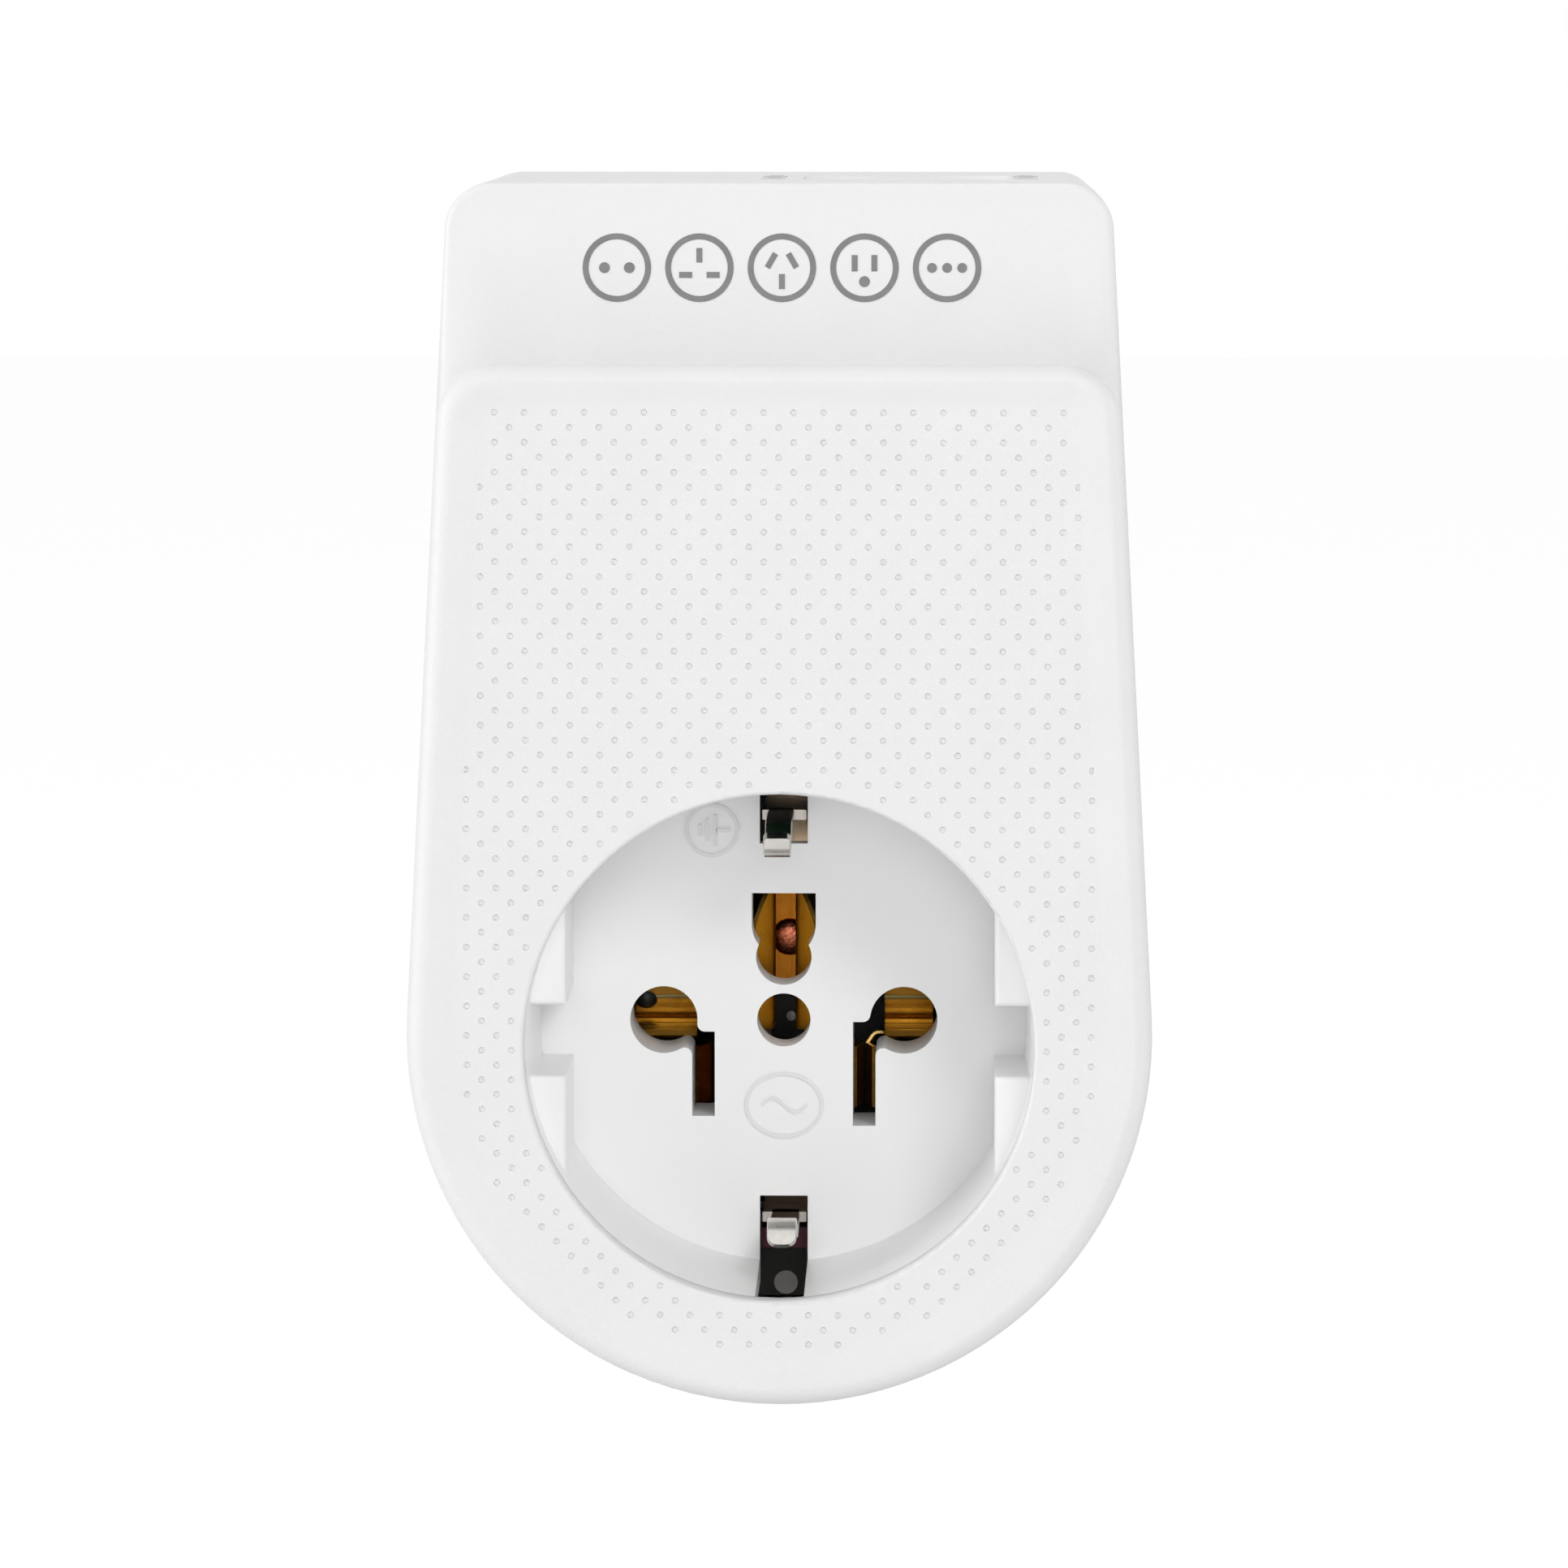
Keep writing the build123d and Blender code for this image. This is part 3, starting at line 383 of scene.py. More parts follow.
finishOfSlot = {
    "cover_white": "coverPlastic", "housing_white": "housingPlastic", "cup_white": "cupPlastic",
    "carrier_black": "carrierPlastic", "contact_brass": "contactBrass", "strap_brass": "paintedLightStrapBrass",
    "rivet_copper": "rivetCopper", "clip_nickel": "clipNickel", "pin_nickel": "pinNickel",
    "sleeve_black": "sleevePlastic", "port_steel": "portSteel", "port_plastic": "portPlastic",
    "board_green": "boardMask", "ferrite_grey": "ferriteBlock", "winding_tape": "windingTape",
    "can_sleeve": "canSleeve", "chip_black": "chipEpoxy", "fuse_body": "fuseCasing",
    "disc_blue": "discEnamel", "wire_brown": "brownInsulation", "wire_blue": "blueInsulation",
    "screw_steel": "screwSteel",
}
for node in nodes.values():
    for materialSlot in node.material_slots:
        slotName = materialSlot.material.name.split(".")[0]
        materialSlot.material = finishes[finishOfSlot[slotName]]
print("finishes given to every node")


# Camera and light

camera = {
    "from": (13.94, -644.0, 66.67),
    "aim": (0.42, -44.0, 6.17),
    "lens": 180.63,
    "sensor": 36.0,
    "clipStart": 0.01,
}


def addCamera():
    data = bpy.data.cameras.new("photoCamera")
    data.lens = camera["lens"]
    data.sensor_width = camera["sensor"]
    data.clip_start = camera["clipStart"]
    holder = bpy.data.objects.new("photoCamera", data)
    bpy.context.scene.collection.objects.link(holder)
    eye = Vector(camera["from"]) * mm
    aim = Vector(camera["aim"]) * mm
    holder.location = eye
    holder.rotation_euler = (aim - eye).to_track_quat("-Z", "Y").to_euler()
    bpy.context.scene.camera = holder


lamps = {
    "key": {"place": (0.42, -1.0, 0.62), "size": 0.35, "watts": 3.42},
    "front": {"place": (0.05, -1.4, 0.2), "size": 0.5, "watts": 3.1},
    "leftEdge": {"place": (-1.2, -0.35, 0.25), "size": 0.6, "watts": 6.9},
    "rightEdge": {"place": (1.2, -0.35, 0.25), "size": 0.6, "watts": 1.9},
    "overhead": {"place": (0.05, 0.22, 1.3), "size": 0.5, "watts": 3.6},
}
worldLight = 0.35


def addLamps():
    # Every lamp faces the origin
    for name, lamp in lamps.items():
        data = bpy.data.lights.new(name, "AREA")
        data.shape = "SQUARE"
        data.size = lamp["size"]
        data.energy = lamp["watts"]
        holder = bpy.data.objects.new(name, data)
        bpy.context.scene.collection.objects.link(holder)
        holder.location = lamp["place"]
        holder.rotation_euler = (-Vector(lamp["place"])).to_track_quat("-Z", "Y").to_euler()


def whiteToTheEye(tree):
    # One for camera, mirror and glass rays, nought for the rest
    rays = addNode(tree, "ShaderNodeLightPath")
    first = addNode(tree, "ShaderNodeMath", {"operation": "MAXIMUM"})
    second = addNode(tree, "ShaderNodeMath", {"operation": "MAXIMUM"})
    tree.links.new(rays.outputs["Is Camera Ray"], first.inputs[0])
    tree.links.new(rays.outputs["Is Glossy Ray"], first.inputs[1])
    tree.links.new(first.outputs[0], second.inputs[0])
    tree.links.new(rays.outputs["Is Transmission Ray"], second.inputs[1])
    return second.outputs[0]


def lightWorld():
    world = bpy.data.worlds.new("studio")
    bpy.context.scene.world = world
    world.use_nodes = True
    tree = world.node_tree
    background = next(n for n in tree.nodes if n.type == "BACKGROUND")
    background.inputs["Color"].default_value = (1, 1, 1, 1)
    strength = addNode(tree, "ShaderNodeMapRange")
    strength.inputs["To Min"].default_value = worldLight
    strength.inputs["To Max"].default_value = 1.0
    tree.links.new(whiteToTheEye(tree), strength.inputs["Value"])
    tree.links.new(strength.outputs["Result"], background.inputs["Strength"])


# The floor's colour lights the part; its glow and tint are what a camera or a mirror sees
floor = {"size": 6.0, "drop": 60 * mm, "colour": (0.8, 0.8, 0.8), "glow": 0.945, "tint": 0.1}


def layFloor():
    half = floor["size"] / 2
    level = coverLow.z - floor["drop"]
    bm = bmesh.new()
    bm.faces.new([bm.verts.new((x * half, y * half, level)) for x, y in squareCorners])
    material = bpy.data.materials.new("paleFloor")
    material.use_nodes = True
    tree = material.node_tree
    tree.nodes.clear()
    plain = addNode(tree, "ShaderNodeBsdfDiffuse", values={"Color": (*floor["colour"], 1)})
    faint = addNode(tree, "ShaderNodeBsdfDiffuse", values={"Color": (*[floor["tint"]] * 3, 1)})
    glow = addNode(tree, "ShaderNodeEmission", values={"Color": (1, 1, 1, 1), "Strength": floor["glow"]})
    shown = addNode(tree, "ShaderNodeAddShader")
    mix = addNode(tree, "ShaderNodeMixShader")
    out = addNode(tree, "ShaderNodeOutputMaterial")
    tree.links.new(faint.outputs[0], shown.inputs[0])
    tree.links.new(glow.outputs[0], shown.inputs[1])
    tree.links.new(whiteToTheEye(tree), mix.inputs[0])
    tree.links.new(plain.outputs[0], mix.inputs[1])
    tree.links.new(shown.outputs[0], mix.inputs[2])
    tree.links.new(mix.outputs[0], out.inputs["Surface"])
    fromBmesh("paleFloor", bm, material)


addCamera()
addLamps()
lightWorld()
layFloor()
bpy.context.scene.view_settings.view_transform = "Standard"
print("camera, lamps and floor placed")


# Dimpled front cover

dimples = {
    "pitch": 1.1445 * mm,  # half the distance between neighbours in a row
    "rowPitch": 1.1433 * mm,
    "topRow": 49.03 * mm,
    "rows": 64,
    "columns": 22,
    "diameter": 0.52 * mm,
    "depth": 0.125 * mm,
    "sides": 12,
    "sideLimit": 25.15 * mm,  # the field keeps inside this radius and the leaning sides
    "limitRise": 1.6 * mm,  # the field's round end has its centre this far above the axis
    "lean": math.radians(3.0),
    "wellLimit": 20.45 * mm,
    "steps": ((-0.44, 0.75), (-0.36, 0.6), (-0.18, 0.33)),  # share of the depth, and the narrowing
    "openingLimit": 19.9 * mm,  # no panel faces inside this radius
    "near": 0.004 * mm,
    "weld": 0.002 * mm,
    "facing": 0.9,
    "flatNormal": 0.9999,
    "crease": math.radians(26),
}
onBorder = -1  # stands for the border where the dimples have their own numbers
meshEpsilon = 1e-9


def dimplePlaces():
    spots = []
    for row in range(dimples["rows"]):
        up = dimples["topRow"] - row * dimples["rowPitch"]
        for column in range(-dimples["columns"], dimples["columns"] + 1):
            if (column + row) % 2 == 0:
                continue
            across = column * dimples["pitch"]
            height = up - dimples["limitRise"]
            if height > 0:
                reach = dimples["sideLimit"] - height * math.sin(dimples["lean"])
                inside = abs(across) < reach / math.cos(dimples["lean"])
            else:
                inside = math.hypot(across, height) < dimples["sideLimit"]
            if inside and math.hypot(across, up) > dimples["wellLimit"]:
                spots.append((across, up))
    return spots


def newGeometryTree(name, sockets):
    # Returns the tree, its input node and the identifier of each input
    tree = bpy.data.node_groups.new(name, "GeometryNodeTree")
    face = tree.interface
    face.new_socket(name="Geometry", in_out="INPUT", socket_type="NodeSocketGeometry")
    inputs = {}
    for label, kind in sockets:
        socket = face.new_socket(name=label, in_out="INPUT", socket_type="NodeSocket" + kind)
        inputs[label] = socket.identifier
    face.new_socket(name="Geometry", in_out="OUTPUT", socket_type="NodeSocketGeometry")
    return tree, tree.nodes.new("NodeGroupInput"), inputs


def copyToPoints(tree, start, shape, material):
    # Ends the tree with a real copy of the shape on every point
    end = tree.nodes.new("NodeGroupOutput")
    link = tree.links.new
    copies = addNode(tree, "GeometryNodeInstanceOnPoints")
    link(start.outputs["Geometry"], copies.inputs["Points"])
    link(shape, copies.inputs["Instance"])
    real = addNode(tree, "GeometryNodeRealizeInstances")
    link(copies.outputs["Instances"], real.inputs["Geometry"])
    paint = addNode(tree, "GeometryNodeSetMaterial", values={"Material": material})
    link(real.outputs["Geometry"], paint.inputs["Geometry"])
    link(paint.outputs["Geometry"], end.inputs["Geometry"])


def buildCupTree(material):
    # A shallow round-bottomed cup on every point
    sockets = (("Radius", "Float"), ("Depth", "Float"), ("Sides", "Int"))
    tree, start, inputs = newGeometryTree("dimpleCups", sockets)
    link = tree.links.new
    ring = addNode(tree, "GeometryNodeMeshCircle", {"fill_type": "NGON"})
    link(start.outputs["Sides"], ring.inputs["Vertices"])
    link(start.outputs["Radius"], ring.inputs["Radius"])
    cup = ring.outputs["Mesh"]
    for share, shrink in dimples["steps"]:
        deep = addNode(tree, "ShaderNodeMath", {"operation": "MULTIPLY"})
        deep.inputs[1].default_value = share
        link(start.outputs["Depth"], deep.inputs[0])
        step = addNode(tree, "GeometryNodeExtrudeMesh", {"mode": "FACES"})
        link(cup, step.inputs["Mesh"])
        link(deep.outputs[0], step.inputs["Offset Scale"])
        narrow = addNode(tree, "GeometryNodeScaleElements", values={"Scale": shrink})
        link(step.outputs["Mesh"], narrow.inputs["Geometry"])
        link(step.outputs["Top"], narrow.inputs["Selection"])
        cup = narrow.outputs["Geometry"]
    turn = addNode(tree, "GeometryNodeTransform")
    turn.inputs["Rotation"].default_value = (math.pi / 2, 0, 0)
    link(cup, turn.inputs["Geometry"])
    copyToPoints(tree, start, turn.outputs["Geometry"], material)
    return tree, inputs


def grownMesh(name, points, tree, inputs, values):
    # Runs a geometry tree on a cloud of points and returns the plain mesh
    seed = bpy.data.meshes.new(name + "Points")
    seed.from_pydata(points, [], [])
    holder = bpy.data.objects.new(name + "Points", seed)
    bpy.context.scene.collection.objects.link(holder)
    modifier = holder.modifiers.new(name, "NODES")
    modifier.node_group = tree
    for label, value in values.items():
        modifier[inputs[label]] = value
    bpy.context.view_layer.update()
    evaluated = holder.evaluated_get(bpy.context.evaluated_depsgraph_get())
    mesh = bpy.data.meshes.new_from_object(evaluated)
    bpy.data.objects.remove(holder)
    return mesh


def flatFacesOf(bm):
    # The cover's flat front, which the dimpled panel takes the place of
    near = dimples["near"]
    facing = [f for f in bm.faces if f.normal.y < -dimples["facing"]]
    return [f for f in facing if all(abs(v.co.y - flatY) < near for v in f.verts)]


def panelDrawing(flatFaces, spots, radius):
    # The border of the flat and one ring per dimple, as points, lines and each point's ring
    edge = {e for f in flatFaces for e in f.edges if any(g not in flatFaces for g in e.link_faces)}
    border = sorted({v for e in edge for v in e.verts}, key=lambda v: v.index)
    order = {v: i for i, v in enumerate(border)}
    coords = [Vector((v.co.x, v.co.z)) for v in border]
    lines = sorted((order[e.verts[0]], order[e.verts[1]]) for e in edge)
    owner = [onBorder] * len(coords)
    for number, (across, up) in enumerate(spots):
        first = len(coords)
        for side in range(dimples["sides"]):
            angle = 2 * math.pi * side / dimples["sides"]
            x = axisX + across + radius * math.cos(angle)
            coords.append(Vector((x, axisZ + up + radius * math.sin(angle))))
            owner.append(number)
            lines.append((first + side, first + (side + 1) % dimples["sides"]))
    return border, coords, lines, owner


def fillPanel(bm, border, coords, lines, owner):
    # Triangles between the border and the rings, with none inside a ring or the well
    result = geometry.delaunay_2d_cdt(coords, lines, [], 0, meshEpsilon)
    verts2d, triangles, origins = result[0], result[2], result[3]
    made = {}
    for triangle in triangles:
        sources = [origins[i][0] if origins[i] else None for i in triangle]
        owners = {owner[source] if source is not None else None for source in sources}
        if len(owners) == 1 and onBorder not in owners:
            continue
        middle = sum((Vector(verts2d[i]) for i in triangle), Vector((0, 0))) / 3
        if math.hypot(middle.x - axisX, middle.y - axisZ) < dimples["openingLimit"]:
            continue
        for i, source in zip(triangle, sources):
            if i in made:
                continue
            if source is not None and owner[source] == onBorder:
                made[i] = border[source]
            else:
                made[i] = bm.verts.new((verts2d[i].x, flatY, verts2d[i].y))
        try:
            bm.faces.new([made[i] for i in triangle])
        except ValueError:
            print("a panel face was there already")


def buildCover():
    material = finishes["coverPlastic"]
    spots = dimplePlaces()
    radius = dimples["diameter"] / 2
    tree, inputs = buildCupTree(material)
    points = [place(across, up, flatY) for across, up in spots]
    values = {"Radius": radius, "Depth": dimples["depth"], "Sides": dimples["sides"]}
    cups = grownMesh("dimples", points, tree, inputs, values)

    bm = bmesh.new()
    bm.from_mesh(nodes["front_cover"].data)
    bmesh.ops.remove_doubles(bm, verts=bm.verts, dist=dimples["weld"])
    flatFaces = flatFacesOf(bm)
    drawing = panelDrawing(flatFaces, spots, radius)
    bmesh.ops.delete(bm, geom=flatFaces, context="FACES")
    fillPanel(bm, *drawing)
    bm.from_mesh(cups)
    bmesh.ops.remove_doubles(bm, verts=bm.verts, dist=dimples["weld"])
    piece = fromBmesh("dimpledCover", bm, material)
    for polygon in piece.data.polygons:
        level = abs(polygon.center.y - flatY) < dimples["near"]
        polygon.use_smooth = not (level and polygon.normal.y < -dimples["flatNormal"])
    piece.data.set_sharp_from_angle(angle=dimples["crease"])
    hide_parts("front_cover")
    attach(piece, "root")
    print("front cover with", len(spots), "dimples")


buildCover()


# Thin printed and moulded marks: all generic, in the places of the real ones

def frontSpot(y):
    # Measured from the socket's axis, standing out to the front
    return lambda across, up, out: Vector((axisX + across * mm, y - out * mm, axisZ + up * mm))


def topSpot(z):
    # Across and back from the front of the frame, standing out upwards
    return lambda across, back, out: Vector((across * mm, back * mm, z + out * mm))


def roundLoop(across, up, radiusX, radiusZ=None, sides=40):
    radiusZ = radiusZ or radiusX
    turns = [2 * math.pi * i / sides for i in range(sides)]
    return [(across + radiusX * math.cos(t), up + radiusZ * math.sin(t)) for t in turns]


def barLoop(across, up, width, height, slant=0.0):
    cos, sin = math.cos(math.radians(slant)), math.sin(math.radians(slant))
    corners = []
    for x, z in squareCorners:
        x, z = x * width / 2, z * height / 2
        corners.append((across + x * cos - z * sin, up + x * sin + z * cos))
    return corners


def raisedPatch(bm, spot, outer, inner=None, lift=0.03, sink=0.02):
    # A thin patch with upright sides; with an inner loop it is a ring
    top = [bm.verts.new(spot(*point, lift)) for point in outer]
    foot = [bm.verts.new(spot(*point, -sink)) for point in outer]
    bridge(bm, foot, top)
    if inner is None:
        bm.faces.new(top)
        return
    innerTop = [bm.verts.new(spot(*point, lift)) for point in inner]
    innerFoot = [bm.verts.new(spot(*point, -sink)) for point in inner]
    bridge(bm, top, innerTop)
    bridge(bm, innerTop, innerFoot)


def addMarks(name, finish, draw):
    bm = bmesh.new()
    draw(bm)
    piece = fromBmesh(name, bm, finishes[finish])
    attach(piece, "root")


stroke = 0.46
pictograms = {
    "middle": (0.24, 60.05),
    "step": 6.3,
    "radius": 2.62,
    "line": stroke,
    "lift": 0.03,
    "dotSides": 20,
    # Dots as (x, z, radius) and bars as (x, z, width, height, slant), from each ring's middle
    "faces": (
        ([(-0.95, 0, 0.42), (0.95, 0, 0.42)], []),
        ([], [(0, 0.95, stroke, 1.1, 0), (-1.05, -0.55, 1.0, stroke, 0), (1.05, -0.55, 1.0, stroke, 0)]),
        ([], [(-0.8, 0.55, stroke, 1.25, -30), (0.8, 0.55, stroke, 1.25, 30), (0, -1.05, stroke, 1.15, 0)]),
        ([(0, -1.05, 0.42)], [(-0.75, 0.35, stroke, 1.25, 0), (0.75, 0.35, stroke, 1.25, 0)]),
        ([(-1.15, 0, 0.38), (0, 0, 0.38), (1.15, 0, 0.38)], []),
    ),
}


def drawPictograms(bm):
    # A row of plain socket faces, no two alike
    spot = frontSpot(stripY)
    middleX, z = pictograms["middle"]
    lift, sides = pictograms["lift"], pictograms["dotSides"]
    half = (len(pictograms["faces"]) - 1) / 2
    for number, (dots, bars) in enumerate(pictograms["faces"]):
        x = middleX + (number - half) * pictograms["step"]
        outer = roundLoop(x, z, pictograms["radius"])
        inner = roundLoop(x, z, pictograms["radius"] - pictograms["line"])
        raisedPatch(bm, spot, outer, inner, lift)
        for dx, dz, radius in dots:
            raisedPatch(bm, spot, roundLoop(x + dx, z + dz, radius, sides=sides), lift=lift)
        for dx, dz, width, height, slant in bars:
            raisedPatch(bm, spot, barLoop(x + dx, z + dz, width, height, slant), lift=lift)


wellMarks = {
    "earth": (-5.69, 15.09),
    "earthRadius": 2.15,
    "oval": (0.06, -6.77),
    "ovalRadii": (3.15, 2.65),
    "line": 0.3,
    "lift": 0.16,
    "earthBars": ((-0.95, 0.95), (-0.35, 1.75), (0.25, 2.5)),  # place across, and height
    "earthStem": (0.9, 1.1),  # place across, and width
    "waveLength": 3.6,
    "waveHeight": 0.55,
    "waveSteps": 16,
}


def drawWellMarks(bm):
    # Earth sign and an oval ring with a plain wave, moulded on the floor of the well; their darker plastic
    # paints the shade along the moulded lines
    spot = frontSpot(floorY)
    line = wellMarks["line"]
    lift = wellMarks["lift"]
    x, z = wellMarks["earth"]
    radius = wellMarks["earthRadius"]
    raisedPatch(bm, spot, roundLoop(x, z, radius), roundLoop(x, z, radius - line), lift)
    for dx, height in wellMarks["earthBars"]:
        raisedPatch(bm, spot, barLoop(x + dx, z, line, height), lift=lift)
    dx, width = wellMarks["earthStem"]
    raisedPatch(bm, spot, barLoop(x + dx, z, width, line), lift=lift)
    x, z = wellMarks["oval"]
    wide, high = wellMarks["ovalRadii"]
    raisedPatch(bm, spot, roundLoop(x, z, wide, high), roundLoop(x, z, wide - line, high - line), lift)
    steps = wellMarks["waveSteps"]
    turns = [i / steps for i in range(steps + 1)]
    length, height = wellMarks["waveLength"], wellMarks["waveHeight"]
    wave = [(t * length - length / 2, height * math.sin(t * 2 * math.pi)) for t in turns]
    upper = [(x + dx, z + dz + line / 2) for dx, dz in wave]
    lower = [(x + dx, z + dz - line / 2) for dx, dz in wave]
    for i in range(steps):
        raisedPatch(bm, spot, [lower[i], lower[i + 1], upper[i + 1], upper[i]], lift=lift)


topMarks = {
    "columns": (-0.75, 18.95),
    "width": 1.9,
    "backFrom": -32.5,
    "backTo": -16.5,
    "bars": 7,
    "shortBar": 0.6,  # every third bar is shorter by this factor
    "barShare": 0.5,  # of the step from bar to bar
    "lift": 0.02,
    "sink": 0.06,
    "below": 0.03,  # how far the marks' tops stay under the highest line of the housing
}


def drawTopMarks(bm):
    # Two columns of short bars beside the ports
    spot = topSpot(coverHigh.z - topMarks["below"] * mm)
    step = (topMarks["backTo"] - topMarks["backFrom"]) / topMarks["bars"]
    for column in topMarks["columns"]:
        for number in range(topMarks["bars"]):
            back = topMarks["backFrom"] + (number + 0.5) * step
            width = topMarks["width"] * (1.0 if number % 3 else topMarks["shortBar"])
            bar = barLoop(column, back, width, topMarks["barShare"] * step)
            raisedPatch(bm, spot, bar, lift=topMarks["lift"], sink=topMarks["sink"])


addMarks("facePictograms", "greyPrint", drawPictograms)
addMarks("wellMarks", "paintedShadeMarkPlastic", drawWellMarks)
addMarks("topMarks", "faintPrint", drawTopMarks)
print("marks added")


# Bent sheet metal: earth clips and contact springs

def softened(points, reach, steps=5):
    # Rounds the corners of a path of (level, distance) points
    path = [Vector(points[0])]
    for before, corner, after in zip(points, points[1:], points[2:]):
        middle = Vector(corner)
        first = middle + (Vector(before) - middle).normalized() * reach
        last = middle + (Vector(after) - middle).normalized() * reach
        for step in range(steps + 1):
            t = step / steps
            path.append(first * (1 - t) ** 2 + middle * 2 * t * (1 - t) + last * t * t)
    path.append(Vector(points[-1]))
    return path


stripEnd = {"shares": (0.25, 0.5, 0.7, 0.85, 0.95, 1.0), "cutPower": 1.4}


def addStrip(bm, path, width, thickness, spot, bevel=0.07, endRound=0.0, cut=None):
    # A strip along the path with broken edges; endRound rounds its far end, and
    # with a cut only the upper corner there is taken off, to that depth
    points = [Vector(point) for point in path]
    cuts = [0.0] * len(points)
    if endRound:
        end = points[-1]
        ahead = (end - points[-2]).normalized()
        points[-1] = end - ahead * endRound
        for share in stripEnd["shares"]:
            points.append(end - ahead * endRound * (1 - share))
            roundCut = endRound * (1 - math.sqrt(1 - share * share))
            cuts.append(cut * share ** stripEnd["cutPower"] if cut else roundCut)
    rings = []
    half = thickness / 2
    for number, (point, inset) in enumerate(zip(points, cuts)):
        along = points[min(number + 1, len(points) - 1)] - points[max(number - 1, 0)]
        along.normalize()
        normal = Vector((-along.y, along.x))
        high = width / 2 - inset
        low = -width / 2 + (inset if cut is None else 0.0)
        section = [(half, high - bevel), (half - bevel, high), (bevel - half, high), (-half, high - bevel)]
        section += [(-half, low + bevel), (bevel - half, low), (half - bevel, low), (half, low + bevel)]
        rings.append([bm.verts.new(spot(point + normal * a, b)) for a, b in section])
    for lower, upper in zip(rings, rings[1:]):
        bridge(bm, lower, upper)
    bm.faces.new(rings[0])
    bm.faces.new(rings[-1])


def uprightSpot(side, across=0.0):
    # Path distance runs up or down from the socket's axis, and the width runs across
    return lambda point, width: Vector(
        (axisX + (across + width) * mm, -point.x * mm, axisZ + side * point.y * mm)
    )


def sidewaysSpot(side, across, up):
    # Path distance runs left or right from the given middle, and the width runs up
    return lambda point, width: Vector(
        (axisX + (across + side * point.y) * mm, -point.x * mm, axisZ + (up + width) * mm)
    )


sheetCrease = math.radians(35)


def finishStrips(name, bm, finish, node):
    bmesh.ops.recalc_face_normals(bm, faces=bm.faces)
    piece = fromBmesh(name, bm, finishes[finish])
    for polygon in piece.data.polygons:
        polygon.use_smooth = True
    piece.data.set_sharp_from_angle(angle=sheetCrease)
    if node:
        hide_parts(node)
    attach(piece, "root")


clips = {
    "thickness": 0.8,
    "wide": 3.5,
    "leg": ((4.2, 14.6), (4.2, 16.1), (24.0, 16.1)),  # ends in the two shoulders
    "nose": ((22.5, 16.1), (32.4, 16.1), (37.1, 14.47), (38.5, 14.95), (39.1, 16.05)),
    "bend": 0.55,
    "pair": (
        {"name": "top", "node": "earth_clip_top", "side": 1, "shift": -0.25, "width": 2.1, "round": 0.3},
        {"name": "low", "node": "earth_clip_bottom", "side": -1, "shift": 0.11, "width": 2.28, "round": 0.75},
    ),
}


def buildClips():
    # Each clip is a wide leg that carries a narrower strip with a bent nose
    thickness, bend = clips["thickness"], clips["bend"]
    for clip in clips["pair"]:
        bm = bmesh.new()
        spot = uprightSpot(clip["side"])
        addStrip(bm, softened(clips["leg"], bend), clips["wide"], thickness, spot)
        # The leg gets the darker copy of the clip's nickel: painted shade
        finishStrips(clip["name"] + "ClipLeg", bm, "paintedShadeNickel", None)
        bm = bmesh.new()
        spot = uprightSpot(clip["side"], clip["shift"])
        nose = softened(clips["nose"], bend)
        addStrip(bm, nose, clip["width"], thickness, spot, endRound=clip["round"])
        finishStrips(clip["name"] + "Clip", bm, "clipNickel", clip["node"])


def lathedRings(bm, rings, sides):
    # Rings given as (radius, y), joined from the first to the last
    loops = []
    for radius, y in rings:
        turns = [2 * math.pi * i / sides for i in range(sides)]
        ring = [Vector((radius * math.cos(t), y, radius * math.sin(t))) * mm for t in turns]
        loops.append([bm.verts.new(point) for point in ring])
    for lower, upper in zip(loops, loops[1:]):
        bridge(bm, lower, upper)
    return loops


# Paths are points of (level in front of the rear face, distance from the pin's middle).
# Plates are left, right, low, high, back and front, from the socket's axis and the rear face.
springSheet = 0.42
earthSprings = {
    "path": ((4.05, 2.3), (12.0, 2.3), (19.4, 0.95), (21.4, 2.5)),
    "bend": 0.35,
    "up": 4.05,
    "width": 11.3,
    "cornerRound": 2.0,
    "cornerCut": 2.7,
    "pad": (-2.4, 2.4, -0.6, 10.2, 3.82, 4.26),
}
rivetHead = {
    "place": (0.0, 4.02),
    "rings": ((1.5, -4.2), (1.5, -4.5), (1.42, -4.72), (1.2, -4.9), (0.8, -5.0), (0.35, -5.04)),
    "sides": 48,
}
lineSprings = {
    "upper": (
        (4.05, 2.5), (12.0, 2.3), (15.7, -0.72), (16.1, -0.66),
        (17.45, 0.75), (17.5, 1.0), (18.3, 1.9),
    ),
    "upperBend": 0.18,
    "lower": (
        (4.05, 2.5), (12.0, 2.6), (15.5, 1.05), (15.9, 1.45), (16.25, 1.3),
        (16.65, 1.75), (17.0, 1.6), (17.4, 2.05), (17.7, 1.95), (18.1, 2.45),
    ),
    "lowerBend": 0.11,
    "bladeUp": -5.65,
    "bladeWidth": 4.9,
    "bladeBend": 0.4,
    "busX": (3.6, 10.8),
    "busZ": (14.4, 23.4),
    "armHalf": 1.3,
    "armZ": (-2.6, 17.6),
    "levels": (3.2, 3.8),
    "pair": (
        {
            "name": "live", "node": "live_contact", "x": -9.65, "width": 5.1, "bladeX": -5.98,
            "blade": ((4.05, 1.5), (10.0, 1.4), (15.6, 0.2), (18.1, 1.25)),
        },
        {
            "name": "neutral", "node": "neutral_contact", "x": 9.85, "width": 4.0, "bladeX": 6.3,
            "blade": ((4.05, 1.5), (10.0, 1.4), (15.6, 0.28), (18.1, 0.82)),
        },
    ),
}
foldedCorner = {
    "path": ((8.0, -2.4), (7.1, -2.35), (6.45, -3.3)),  # across and up from the socket's axis
    "bend": 0.4,
    "width": 1.0,
    "sheet": 0.35,
    "level": 15.0,
}


